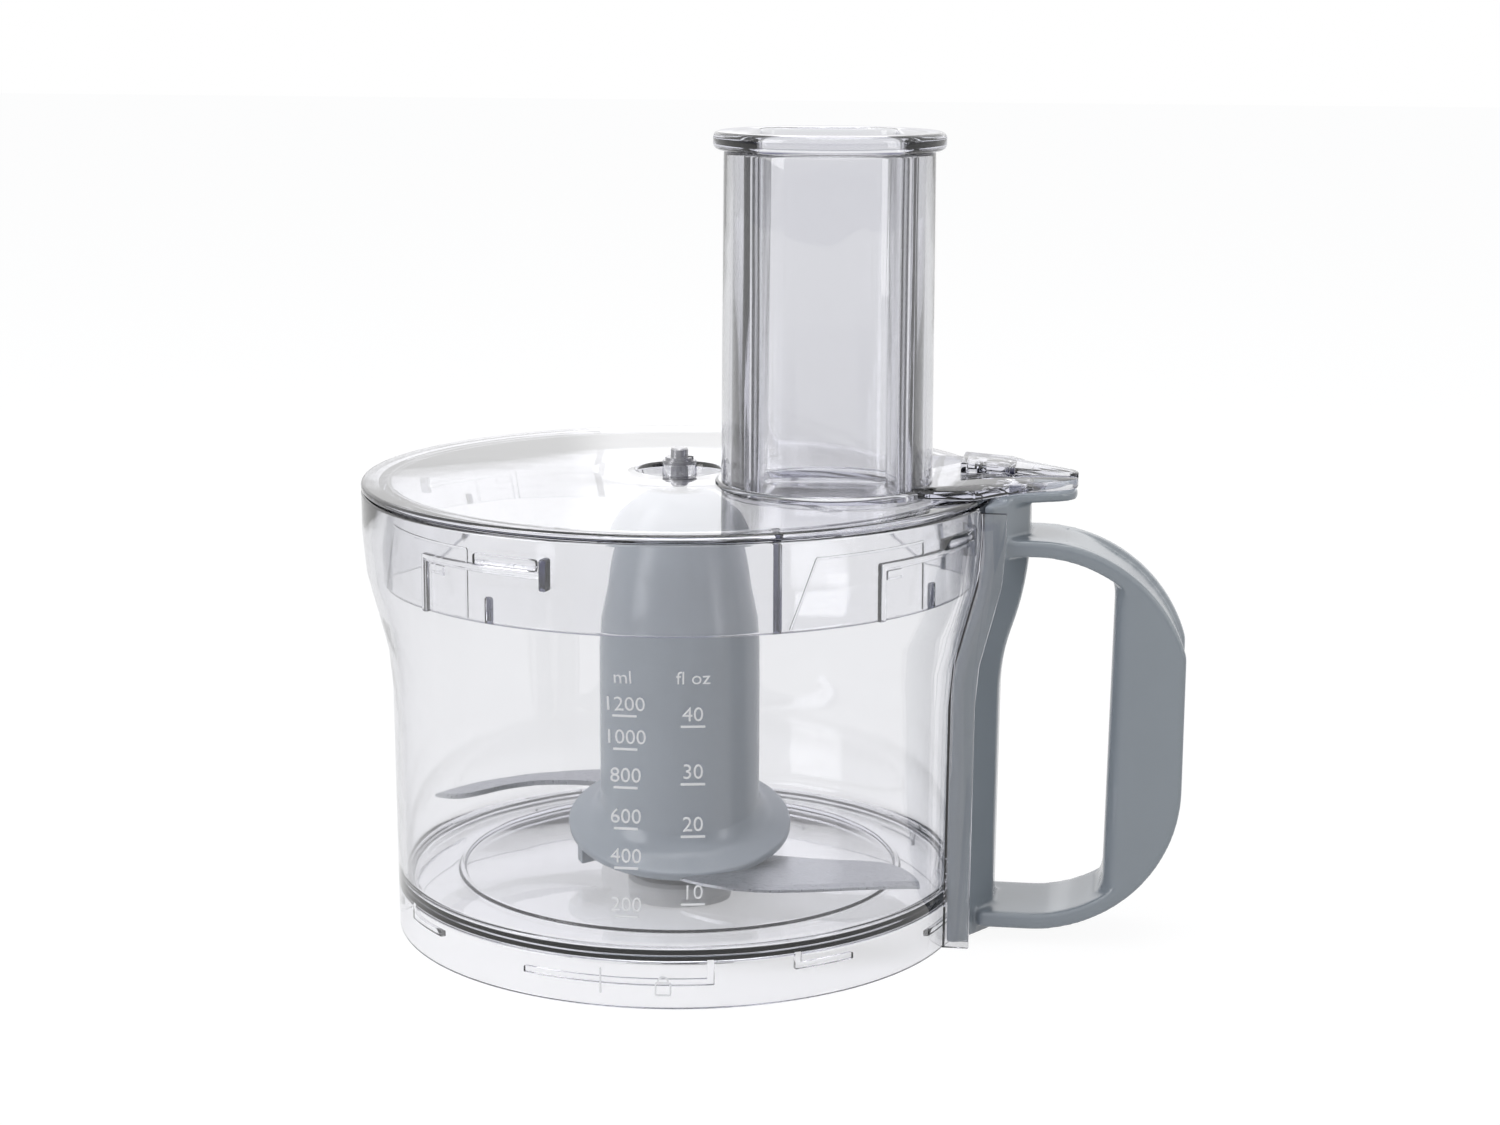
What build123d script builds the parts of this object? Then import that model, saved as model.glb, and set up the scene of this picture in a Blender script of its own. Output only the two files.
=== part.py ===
"""Bowl assembly of a kitchen food processor, in millimetres.

+Z is up, the origin is on the bowl's axis in the plane that it stands on, and the
handle points along +X.  Every moulding, shaft and fastener is its own solid.
"""
from build123d import *
import os
from math import cos, radians, sin, sqrt

os.makedirs("parts", exist_ok=True)

# ---------------------------------------------------------------- driving sizes
# Bowl
base_radius = 81.5          # outside of the foot
foot_draft = 0.5            # how much wider the wall is where the flare begins
flare_step = 7.6            # how far the wall flares out for the lid
flare_length = 46.0
bowl_height = 126.8
rim_length = 10.8           # straight wall above the flare
wall = 2.2
floor_top = 15.5
floor_thick = 2.5
floor_step = 17.5           # from the wall in to the raised ring on the floor
floor_ring = 1.6
floor_ring_height = 0.8

# Ramps inside the foot that lock the bowl on its motor unit
ramp_reach = 1.5
ramp_thick = 1.8
ramp_leg = 1.4              # degrees
long_ramp_bottom = 6.2
long_ramp_angle = -93.0     # middle of the first one, seen from the handle
long_ramp_span = 38.0
short_ramp_bottom = 8.4
short_ramp_angle = -51.5
short_ramp_span = 13.0

# Clearances
seat_gap = 0.3              # between faces of different bodies that rest on each other
skin_gap = 0.4              # between mouldings that slide past each other
running_gap = 0.05          # radial, shaft in bearing

# Column, bearing and drive
column_wall = 2.4
column_drop = 61.0          # column's top below the hub's top
bush_length = 16.0
bush_wall = 2.6
seal_height = 3.0
shaft_radius = 4.0
shaft_flat = 0.8            # how deep each of its two flats is cut
bush_ledge = 0.8            # how much narrower the column is below the bush
washer_rim = 1.6            # how far the thrust washer stands out from the shaft
washer_thick = 1.0
circlip_rim = 1.4
circlip_thick = 0.9
groove_depth = 0.5
coupling_radius = 15.0
coupling_bottom = 1.5
coupling_room = 2.5         # between the coupling and the bowl's floor above it
coupling_edge = 1.2
coupling_dogs = 6
coupling_bore = 5.0
coupling_bore_depth = 5.5
neck_wall = 1.2
coupling_neck_height = 6.0
dog_slot = 3.2
dog_slot_depth = 2.5
cross_pin_radius = 1.0

# Knife
hub_radius = 23.0
hub_floor_gap = 1.5
hub_headroom = 3.8          # from the hub's top up to the bowl's rim
hub_ogive = 43.0            # length of its rounded top
hub_bend_drop = 18.0        # where the ogive turns in more sharply, below the top
hub_bend_step = 3.4
hub_top_radius = 9.5
hub_wall = 2.2
hub_sleeve = 1.8            # wall round the column, inside the hub
column_gap = 1.0            # radial, column in hub
saucer_reach = 9.6          # how far the saucer stands out from the hub
saucer_height = 11.5
saucer_lip = 1.8
saucer_neck = 16.0          # where the saucer's slope meets the hub, above its rim
saucer_tab_width = 3.0
saucer_tab_height = 6.0
saucer_tab_angle = -144.0
hub_foot_height = 19.0      # solid ring that the blades are moulded into
socket_gap = 2.0            # from the column's top up to the socket
socket_length = 16.0
socket_wall = 3.0
socket_liner = 1.6
blade_thick = 1.5
tip_gap = 2.3               # from a blade's tip to the bowl's wall
lower_blade_rise = 2.6      # blades above the hub's bottom
upper_blade_rise = 14.2
bevel = 0.7
pin_bush_length = 9.0
pin_bush_wall = 1.6

# Lid
lid_thick = 2.2
lid_rise = 1.7              # how much higher the lid is at its middle
lid_flat = 6.0              # flat ring round the rim
skirt_step = 3.2            # from the bowl's wall in to the skirt
skirt_wall = 1.9
skirt_depth = 25.3
recess_radius = 12.4
recess_depth = 3.4
boss_wall = 2.2
boss_height = 5.1
pin_radius = 2.5
pin_height = 4.3            # how far the pin stands out of the boss
pin_reach = 8.0             # how far the pin goes down into the hub
pin_collar_rim = 3.1
pin_collar_thick = 1.6
pin_washer_rim = 2.3
pin_washer_thick = 0.8
pin_clip_rim = 1.5
pin_clip_thick = 0.9

# Bayonet between lid and bowl
bayonet_count = 4
lug_angle = -21.5           # middle of the first lug, seen from the handle
lug_span = 13.0
lug_drop = 9.0              # underside of the lugs below the rim
lug_height = 3.4
bayonet_reach = 1.5         # how far the shelves stand out from the skirt
bayonet_bite = -0.2         # radial overlap of lug and shelf; negative leaves them apart
shelf_span = 31.0
shelf_lead = 15.0           # degrees from the lug's end to the shelf's far end
shelf_height = 2.0
leg_span = 1.3              # degrees
stop_drop = 5.0             # how far the lid's end stop hangs below the lug
stop_gap = 0.15             # degrees between lug and end stop
skirt_rib = 1.3             # depth of the ribs inside the skirt
tall_rib_angle = -63.0
short_rib_angle = -27.0
short_rib_height = 7.2
lid_unlock_angle = 28.0

# Feed tube and pusher
tube_inset = 44.1           # tube axis from the lid's rim
tube_angle = -17.1
tube_radius = 29.2
tube_wall = 2.0
tube_drop = 1.6             # how far the tube reaches below the lid's underside
tube_length = 96.0
tube_draft = 0.5            # how much narrower the tube is at its top
tube_collar = 1.8
tube_collar_height = 2.4
pusher_turn = 8.0
cup_room = 8.7              # from the tube's outside in to the cup's flat side
cup_wall = 2.0
cup_corner = 8.5
flange_rim = 2.4            # how far the flange stands out over the tube
flange_thick = 5.0
flange_edge = 1.6
wing_wall = 1.6
wing_half_angle = 33.0
notch_width = 1.9
notch_height = 4.8

# Lid tab and thumb plate
tab_length = 22.8           # how far the tab's nose stands out from the rim
tab_nose_radius = 7.0
tab_root_angle = 19.0       # where its sides leave the rim, in degrees
tab_neck = 6.9              # from the rim out to its waist
tab_shoulder = 15.2         # half its width there
tab_rise = 2.7              # tab's top above the lid's rim
tab_thick = 2.9
box_height = 3.0
box_depth = 19.0
box_wall = 1.8
box_slope = 2.4             # how far its roof falls towards the nose
box_rib = 2.6
box_rib_places = (-4.0, 4.3)  # from the rim
thumb_plate_thick = 3.0
thumb_half_width = 13.0
thumb_nose_radius = 7.6

# Handle
handle_width = 29.4
handle_drop = 10.9          # upper arm's top below the bowl's rim
handle_bottom = 4.0
arm_thick = 4.6
lower_arm_thick = 5.6
handle_reach = 62.1         # from the foot out to the grip's outer face
grip_thick = 21.2
upper_bend = 43.2
upper_bend_cut = 1.6        # how much of the upper bend the grip's face cuts off
lower_bend = 42.0
window_corner = 10.5
grip_edge = 6.0
grip_lean = 0.7             # how far the inside of the grip leans from upright
scoop_depth = 1.2
scoop_width = 21.0
spine_depth = 10.0          # how far the spine stands out from the bowl wall
spine_half_width = 19.5
spine_wall = 2.2
spine_foot = 0.8
rail_width = 2.2
rail_depth = 4.2

# Handle fixing
screw_offset = 9.0
screw_radius = 1.3
screw_head_radius = 2.2
screw_head_thick = 1.2
screw_depth = 1.9           # from the bowl wall out to the screw
screw_lug_bottom = 2.0
screw_lug_thick = 3.0
screw_length = 11.0

# Interlock
rod_thick = 3.0
rod_width = 6.0
rod_travel = 4.2
rod_lower_step = 4.7        # rod's middle line out from the foot
rod_upper_step = 5.0        # and out from the rim
rod_bend_margin = (6.0, -8.0)  # where it cranks, from the flare's two ends
rod_foot = 26.0             # where the flat bar ends and its round stem begins
stem_radius = 1.5
stem_bottom = 1.5
cap_top = 6.0
cam_steepness = 1.15        # rise of the cam over what the rod needs
spring_wire = 0.3
spring_turns = 4

# ---------------------------------------------------------------- derived sizes
rim_radius = base_radius + foot_draft + flare_step
flare_top = bowl_height - rim_length
flare_bottom = flare_top - flare_length
foot_depth = floor_top - floor_thick
hub_bottom = floor_top + hub_floor_gap
hub_top = bowl_height - hub_headroom
hub_straight_top = hub_top - hub_ogive
hub_foot_top = hub_bottom + hub_foot_height
saucer_radius = hub_radius + saucer_reach
saucer_top = hub_bottom + saucer_height
lower_blade_z = hub_bottom + lower_blade_rise
upper_blade_z = hub_bottom + upper_blade_rise
blade_reach = base_radius - wall - tip_gap
column_top = hub_top - column_drop
socket_bottom = column_top + socket_gap
shaft_top = socket_bottom + socket_length
bush_bore = shaft_radius + running_gap
column_bore = bush_bore + bush_wall
column_foot_bore = column_bore - bush_ledge
column_radius = column_bore + column_wall
seal_bottom = column_top - seal_height
bush_bottom = seal_bottom - bush_length
lid_bottom = bowl_height + seat_gap
lid_rim_top = lid_bottom + lid_thick
lid_middle = lid_rim_top + lid_rise
skirt_radius = rim_radius - wall - skirt_step
skirt_bottom = lid_bottom - skirt_depth
recess_floor = lid_middle - recess_depth
boss_radius = pin_radius + boss_wall
boss_top = recess_floor + boss_height
pin_top = boss_top + pin_height
recess_reach = recess_radius + tube_collar + tube_radius + running_gap
tube_offset = max(rim_radius - tube_inset, recess_reach)
tube_bottom = lid_bottom - tube_drop
tube_top = tube_bottom + tube_length
cup_side = 2 * (tube_radius - cup_room)
tab_nose = rim_radius + tab_length
tab_top = lid_rim_top + tab_rise
box_top = tab_top + box_height
tab_bottom = tab_top - tab_thick
thumb_plate_top = tab_bottom - skin_gap
plate_bottom = thumb_plate_top - thumb_plate_thick
rod_top = tab_bottom - seat_gap
grip_outer = base_radius + handle_reach
upper_bend_x = grip_outer - upper_bend + upper_bend_cut
handle_top = bowl_height - handle_drop
rod_lower_x = base_radius + rod_lower_step
rod_upper_x = rim_radius + rod_upper_step
coupling_top = foot_depth - coupling_room
coupling_neck = shaft_radius + neck_wall
cross_pin_z = coupling_top + coupling_neck_height / 2
shaft_bottom = coupling_bottom + coupling_bore_depth
lug_bottom = bowl_height - lug_drop
shelf_top = lug_bottom - seat_gap
lug_inner = skirt_radius + bayonet_reach


# ---------------------------------------------------------------- drawing helpers
def turned(*edges):
    """Solid of revolution about Z from edges drawn as (radius, height)."""
    return revolve(Plane.XZ * make_face(Wire(edges)), Axis.Z)


def turned_points(*points):
    """Solid of revolution about Z from straight-sided (radius, height) points."""
    return revolve(Plane.XZ * make_face(Polyline(*points, close=True)), Axis.Z)


def tube_solid(outer, inner, bottom, top):
    """Plain tube on the Z axis."""
    return turned_points((inner, bottom), (outer, bottom), (outer, top), (inner, top))


def rod_solid(radius, bottom, top):
    """Plain round bar on the Z axis."""
    return turned_points((0, bottom), (radius, bottom), (radius, top), (0, top))


def arc_block(inner, outer, bottom, top, middle, span):
    """Piece of a ring: between two radii and two heights, span degrees wide."""
    start = middle - span / 2
    profile = Polyline((inner, bottom), (outer, bottom), (outer, top), (inner, top), close=True)
    return Rot(0, 0, start) * revolve(Plane.XZ * make_face(profile), Axis.Z, span)


def around(count, shape):
    """The same shape repeated round the Z axis."""
    return [Rot(0, 0, 360 / count * index) * shape for index in range(count)]


def wall_edges(inset, bottom, top):
    """Right-hand edge of the bowl wall, moved inwards by inset, from bottom to top."""
    low = base_radius + foot_draft - inset
    high = rim_radius - inset
    middle = ((low + high) / 2, (flare_bottom + flare_top) / 2)
    foot = Line((base_radius - inset, bottom), (low, flare_bottom))
    bend_out = TangentArc((low, flare_bottom), middle, tangent=(0, 1))
    bend_up = TangentArc(middle, (high, flare_top), tangent=bend_out % 1)
    rim = Line((high, flare_top), (high, top))
    return [foot, bend_out, bend_up, rim]


def bowl_envelope(inset, bottom, top):
    """Everything inside the bowl's outer wall moved inwards by inset."""
    edges = wall_edges(inset, bottom, top)
    start = edges[0] @ 0
    end = edges[-1] @ 1
    return turned(*edges, Line(end, (0, top)), Line((0, top), (0, bottom)), Line((0, bottom), start))


def wall_strip(depth, half_width, bottom, top):
    """Straight-sided strip that follows the bowl wall and stands depth out from it."""
    edges = wall_edges(-depth, bottom, top)
    back = base_radius * 0.9
    face = make_face(Wire([
        *edges, Line(edges[-1] @ 1, (back, top)), Line((back, top), (back, bottom)),
        Line((back, bottom), edges[0] @ 0),
    ]))
    return extrude(Plane.XZ * face, half_width, both=True)


def spine_sweep(inset, bottom, top):
    """The spine's plan outline carried up the bowl wall; inset thins it all round."""
    deep = spine_depth - inset
    half = spine_half_width - inset
    shoulder = 0.4 * spine_depth - 0.7 * inset
    face = make_face(Polyline(
        (-6, -half), (0.4, -half), (shoulder, -0.74 * half), (deep, -0.28 * half),
        (deep, 0.28 * half), (shoulder, 0.74 * half), (0.4, half), (-6, half), close=True,
    ))
    face = fillet([corner for corner in face.vertices() if corner.X > 1], 2.0)
    path = Wire([Plane.XZ * edge for edge in wall_edges(0, -3, flare_top + 20)])
    slab = Box(400, 400, top - bottom, align=(Align.CENTER, Align.CENTER, Align.MIN))
    return sweep(Plane(origin=path @ 0) * face, path) & Pos(0, 0, bottom) * slab


def nose_plate(nose, nose_radius, root_x, root_half_width):
    """Outline of a plate that tapers from a straight root to a round nose."""
    tip = Pos(nose - nose_radius, 0) * Circle(nose_radius)
    root = Pos(root_x - 1, 0) * Rectangle(2, 2 * root_half_width)
    return make_hull([*tip.edges(), *root.edges()])


def at_screw(side):
    """Place of one handle screw."""
    return Pos(base_radius + screw_depth, side * screw_offset, 0)


def screw_block(side, bottom, top):
    """Block round a handle screw, from inside the bowl wall out to the spine."""
    deep = 2 * (screw_head_radius + 0.6)
    block = Box(deep + 6, deep, top - bottom, align=(Align.MAX, Align.CENTER, Align.MIN))
    return at_screw(side) * Pos(deep / 2, 0, bottom) * block


# ---------------------------------------------------------------- bowl
def foot_ramp(bottom, middle, span, leg_end):
    """One ramp inside the foot; leg_end says at which end its leg goes up to the floor."""
    inner = base_radius - wall - ramp_reach
    outer = base_radius - wall / 2
    ramp = arc_block(inner, outer, bottom, bottom + ramp_thick, middle, span)
    leg_angle = middle + leg_end * (span - ramp_leg) / 2
    return ramp + arc_block(inner, outer, bottom, foot_depth, leg_angle, ramp_leg)


def make_bowl():
    """Clear jug: flared wall, floor, foot ramps, centre column, lid lugs, handle rails."""
    shell = bowl_envelope(0, 0, bowl_height) - bowl_envelope(wall, -1, bowl_height + 1)
    floor = rod_solid(base_radius - wall / 2, foot_depth, floor_top)
    step_radius = base_radius - floor_step
    floor += tube_solid(step_radius, step_radius - floor_ring, floor_top, floor_top + floor_ring_height)
    body = shell + floor + rod_solid(column_radius, foot_depth, column_top)
    body -= rod_solid(column_bore, bush_bottom, column_top + 1)
    body -= rod_solid(column_foot_bore, foot_depth - 1, bush_bottom + 1)

    # lugs inside the rim that hold the lid down
    lug_outer = rim_radius - wall / 2
    lug = arc_block(lug_inner, lug_outer, lug_bottom, lug_bottom + lug_height, lug_angle, lug_span)
    # ramps inside the foot: a long one and a short one, each with a leg up to the floor
    ramps = foot_ramp(long_ramp_bottom, long_ramp_angle, long_ramp_span, 1)
    ramps += foot_ramp(short_ramp_bottom, short_ramp_angle, short_ramp_span, -1)
    for piece in around(bayonet_count, lug) + around(bayonet_count, ramps):
        body += piece

    # rails on both sides of the spine, and lugs for the handle's screws
    inside = bowl_envelope(wall / 2, -1, bowl_height + 1)
    rail = wall_strip(rail_depth, rail_width / 2, 0, plate_bottom - 1)
    rail_y = spine_half_width + skin_gap + rail_width / 2
    lug_top = screw_lug_bottom + screw_lug_thick
    for side in (-1, 1):
        body += Pos(0, side * rail_y, 0) * rail - inside
        room = spine_sweep(spine_wall + skin_gap / 2, 1, lug_top + 1)
        screw_lug = screw_block(side, screw_lug_bottom, lug_top) & room
        body += screw_lug - inside
        body -= at_screw(side) * rod_solid(screw_radius + 0.2, 0, lug_top + 1)
    return body


def make_bearing_bush():
    """Sintered bush pressed into the top of the column."""
    bush = tube_solid(column_bore, bush_bore, bush_bottom, seal_bottom)
    return chamfer(bush.edges().filter_by(GeomType.CIRCLE).group_by(Axis.Z)[-1], 0.4)


def make_shaft_seal():
    """Rubber lip seal above the bush; its lip leans up against the shaft."""
    return turned_points(
        (column_bore, seal_bottom), (column_bore, column_top), (column_bore - 1.0, column_top),
        (column_bore - 1.0, seal_bottom + 1), (bush_bore + 0.8, seal_bottom + 1),
        (bush_bore + 0.5, column_top - 0.3), (bush_bore, column_top - 0.3), (bush_bore + 0.1, seal_bottom),
    )


# ---------------------------------------------------------------- drive
def make_drive_shaft():
    """Steel shaft: flats at the top for the knife, a clip groove under the bush."""
    shaft = rod_solid(shaft_radius, shaft_bottom, shaft_top)
    shaft = chamfer(shaft.edges().filter_by(GeomType.CIRCLE).group_by(Axis.Z)[-1], 0.6)
    for side in (-1, 1):
        flat = Box(shaft_flat + 5, 20, shaft_top, align=(Align.MIN, Align.CENTER, Align.MIN))
        shaft -= Rot(0, 0, 90 - 90 * side) * Pos(shaft_radius - shaft_flat, 0, socket_bottom) * flat
    groove_top = bush_bottom - washer_thick - running_gap
    shaft -= tube_solid(shaft_radius + 1, shaft_radius - groove_depth, groove_top - circlip_thick, groove_top)
    cross = Rot(0, 90, 0) * rod_solid(cross_pin_radius, -20, 20)
    return shaft - Pos(0, 0, cross_pin_z) * cross


def make_thrust_washer():
    """Washer between the bush and the shaft's clip."""
    top = bush_bottom - running_gap
    return tube_solid(shaft_radius + washer_rim, bush_bore, top - washer_thick, top)


def open_ring(outer, inner, bottom, top):
    """Spring clip: a ring with a mouth on its +X side, a little narrower than its bore."""
    ring = tube_solid(outer, inner, bottom, top)
    mouth = Box(outer * 2, 1.15 * inner, 20, align=(Align.MIN, Align.CENTER, Align.CENTER))
    return ring - Pos(0, 0, (bottom + top) / 2) * mouth


def make_shaft_circlip():
    """Clip in the shaft's groove; it carries the shaft's weight on the washer."""
    top = bush_bottom - washer_thick - running_gap
    inner = shaft_radius - groove_depth
    return open_ring(shaft_radius + circlip_rim, inner, top - circlip_thick, top)


def make_drive_coupling():
    """Dog coupling on the shaft's foot, driven by the motor unit from below."""
    body = rod_solid(coupling_radius, coupling_bottom, coupling_top)
    body = chamfer(body.edges().filter_by(GeomType.CIRCLE).group_by(Axis.Z)[-1], coupling_edge)
    body += rod_solid(coupling_neck, coupling_top - 1, coupling_top + coupling_neck_height)
    web = (coupling_radius - coupling_bore) / 5
    slot_length = coupling_radius - coupling_bore - 2 * web
    slot = Box(slot_length, dog_slot, 2 * dog_slot_depth, align=(Align.MIN, Align.CENTER, Align.CENTER))
    for piece in around(coupling_dogs, Pos(coupling_bore + web, 0, coupling_bottom) * slot):
        body -= piece
    body -= rod_solid(coupling_bore, coupling_bottom - 1, shaft_bottom)
    body -= rod_solid(shaft_radius, coupling_bottom, shaft_top)
    cross = Rot(0, 90, 0) * rod_solid(cross_pin_radius, -20, 20)
    return body - Pos(0, 0, cross_pin_z) * cross


def make_coupling_pin():
    """Cross pin through the coupling's neck and the shaft."""
    half = coupling_neck - running_gap
    return Pos(0, 0, cross_pin_z) * Rot(0, 90, 0) * rod_solid(cross_pin_radius, -half, half)


# ---------------------------------------------------------------- knife
socket_bore = shaft_radius + running_gap
socket_outer = socket_bore + socket_liner
post_outer = socket_outer + socket_wall
column_clear = column_radius + column_gap


def make_knife_hub():
    """Tall hub: ogive top, saucer that throws food off, solid foot for the blades."""
    bend = (hub_radius - hub_bend_step, hub_top - hub_bend_drop)
    shoulder = TangentArc((hub_radius, hub_straight_top), bend, tangent=(0, 1))
    crown = TangentArc(bend, (hub_top_radius, hub_top), tangent=shoulder % 1)
    outside = turned(
        Line((0, hub_bottom), (hub_radius, hub_bottom)),
        Line((hub_radius, hub_bottom), (hub_radius, hub_straight_top)),
        shoulder, crown, Line((hub_top_radius, hub_top), (0, hub_top)),
        Line((0, hub_top), (0, hub_bottom)),
    )
    # saucer: slope down from the hub, hollow valley, then a lip that turns up
    valley = (saucer_radius - 3.2, saucer_top - 1.6)
    neck_z = saucer_top + saucer_neck
    slope_end = (hub_radius + 1.3, valley[1] + 0.32 * saucer_neck)
    slope = Line((hub_radius, neck_z), slope_end)
    level = (1, -0.1)
    saucer = turned(
        slope, Spline(slope_end, valley, tangents=(slope % 1, level)),
        Spline(valley, (saucer_radius - 0.6, saucer_top), tangents=(level, (0.5, 1))),
        Line((saucer_radius - 0.6, saucer_top), (saucer_radius, saucer_top - 0.6)),
        Line((saucer_radius, saucer_top - 0.6), (saucer_radius - 0.5, saucer_top - saucer_lip)),
        Line((saucer_radius - 0.5, saucer_top - saucer_lip), (hub_radius + 1.5, hub_bottom + 5.5)),
        Line((hub_radius + 1.5, hub_bottom + 5.5), (hub_radius, hub_bottom + 2)),
        Line((hub_radius, hub_bottom + 2), (hub_radius - 5, hub_bottom + 2)),
        Line((hub_radius - 5, hub_bottom + 2), (hub_radius - 5, neck_z)),
        Line((hub_radius - 5, neck_z), (hub_radius, neck_z)),
    )
    body = outside + saucer
    tab_align = (Align.MIN, Align.CENTER, Align.MAX)
    tab = Box(saucer_reach, saucer_tab_width, saucer_tab_height, align=tab_align)
    body += Rot(0, 0, saucer_tab_angle) * Pos(hub_radius, 0, saucer_top - saucer_lip + 0.3) * tab
    # inside: room for the column, a hollow above the foot, and a post for the shaft
    body -= rod_solid(column_clear, hub_bottom - 1, column_top + 1.5)
    inner = hub_radius - hub_wall
    sleeve = column_clear + hub_sleeve
    cone_top = hub_top - pin_bush_length
    body -= turned_points(
        (sleeve, hub_foot_top), (inner, hub_foot_top), (inner, hub_straight_top),
        (inner - 4.4, cone_top - 7.5), (post_outer, cone_top - 2), (post_outer, column_top + 6),
        (sleeve, column_top + 3),
    )
    body -= rod_solid(socket_outer, column_top + 1, shaft_top + 1)
    pin_bush_radius = pin_radius + running_gap + pin_bush_wall
    body -= rod_solid(pin_bush_radius, hub_top - pin_bush_length, hub_top + 1)
    for piece in (make_lower_blade(), make_upper_blade()):
        body -= piece
    return body


def make_hub_socket():
    """Steel liner in the hub's post with two flats that fit the shaft."""
    liner = rod_solid(socket_outer, socket_bottom, shaft_top + 1)
    bore = rod_solid(socket_bore, socket_bottom - 1, shaft_top + seat_gap)
    half_flat = shaft_radius - shaft_flat + running_gap
    bore &= Pos(0, 0, shaft_top) * Box(2 * half_flat, 20, 80)
    return liner - bore


def make_pin_bush():
    """Slippery bush in the hub's crown that the lid's pin centres."""
    outer = pin_radius + running_gap + pin_bush_wall
    inner = pin_radius + running_gap
    return tube_solid(outer, inner, hub_top - pin_bush_length, hub_top)


def blade_solid(front, back, bottom):
    """Flat blade with a bevelled front; both its curves are given in shares of the blade's reach."""
    front = [(blade_reach * x, blade_reach * y) for x, y in front]
    back = [(blade_reach * x, blade_reach * y) for x, y in back]
    outline = Wire([Spline(*front), Spline(*back), Line(back[-1], front[0])])
    body = extrude(Plane.XY.offset(bottom) * make_face(outline), blade_thick)
    keen = body.edges().group_by(Axis.Z)[-1].sort_by(SortBy.LENGTH)[-1]
    return chamfer(keen, bevel, 3.5 * bevel)


def make_lower_blade():
    """Broad blade that sweeps just over the floor."""
    tip = (0.927, -0.375)
    front = [(-0.104, -0.247), (0.078, -0.416), (0.286, -0.496), (0.623, -0.449), tip]
    back = [tip, (0.886, -0.253), (0.805, -0.158), (0.623, -0.14), (0.429, -0.127), (0.208, -0.104)]
    body = blade_solid(front, back, lower_blade_z)
    return body - rod_solid(column_clear + 2, lower_blade_z - 1, lower_blade_z + blade_thick + 1)


def make_upper_blade():
    """Narrower curved blade half way up the foot."""
    tip = (-0.955, -0.01)
    front = [(0.182, 0.247), (0.026, 0.377), (-0.208, 0.442), (-0.571, 0.364), (-0.779, 0.227), tip]
    back = [tip, (-0.857, -0.02), (-0.714, 0.123), (-0.506, 0.227), (-0.312, 0.208), (-0.208, 0.104)]
    body = blade_solid(front, back, upper_blade_z)
    return body - rod_solid(column_clear + 2, upper_blade_z - 1, upper_blade_z + blade_thick + 1)


# ---------------------------------------------------------------- lid
def at_tube(shape):
    """Put a shape drawn round the Z axis at the feed tube's place."""
    return Rot(0, 0, tube_angle) * Pos(tube_offset, 0, 0) * shape


def lid_plate():
    """Round plate that rises slightly to the middle, with the pin's recess."""
    crown = lid_rise
    flat_edge = rim_radius - lid_flat
    cone = recess_radius - 1.8
    top = [
        (rim_radius, lid_rim_top), (flat_edge, lid_rim_top), (recess_radius + 12, lid_rim_top + crown),
        (recess_radius, lid_middle), (cone, recess_floor), (boss_radius + 0.3, recess_floor),
        (boss_radius, boss_top), (pin_radius + running_gap, boss_top),
    ]
    under = [
        (pin_radius + running_gap, recess_floor - lid_thick), (cone + 1.4, recess_floor - lid_thick),
        (recess_radius + 2, lid_middle - lid_thick), (recess_radius + 12, lid_rim_top + crown - lid_thick),
        (flat_edge, lid_bottom), (rim_radius, lid_bottom),
    ]
    return turned_points(*top, *under)


def tab_outline(inset):
    """Plan of the tab: it leaves the rim in a hollow curve and ends in a round nose."""
    start = radians(tab_root_angle)
    turn = radians(52)
    nose = tab_nose_radius - inset
    centre = tab_nose - tab_nose_radius
    root = (rim_radius * cos(start), rim_radius * sin(start) - inset)
    shoulder = (rim_radius + tab_neck, tab_shoulder - inset)
    tip = (centre + nose * cos(turn), nose * sin(turn))
    upper = Spline(root, shoulder, tip, tangents=((sin(start), -cos(start)), (sin(turn), -cos(turn))))
    foot = (rim_radius - 10, root[1])
    lower_tip = (tip[0], -tip[1])
    edges = [Line(foot, root), upper, ThreePointArc(tip, (centre + nose, 0), lower_tip)]
    edges += [upper.mirror(Plane.XZ), Line((root[0], -root[1]), (foot[0], -foot[1]))]
    edges.append(Line((foot[0], -foot[1]), foot))
    return make_face(Wire(edges))


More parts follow.
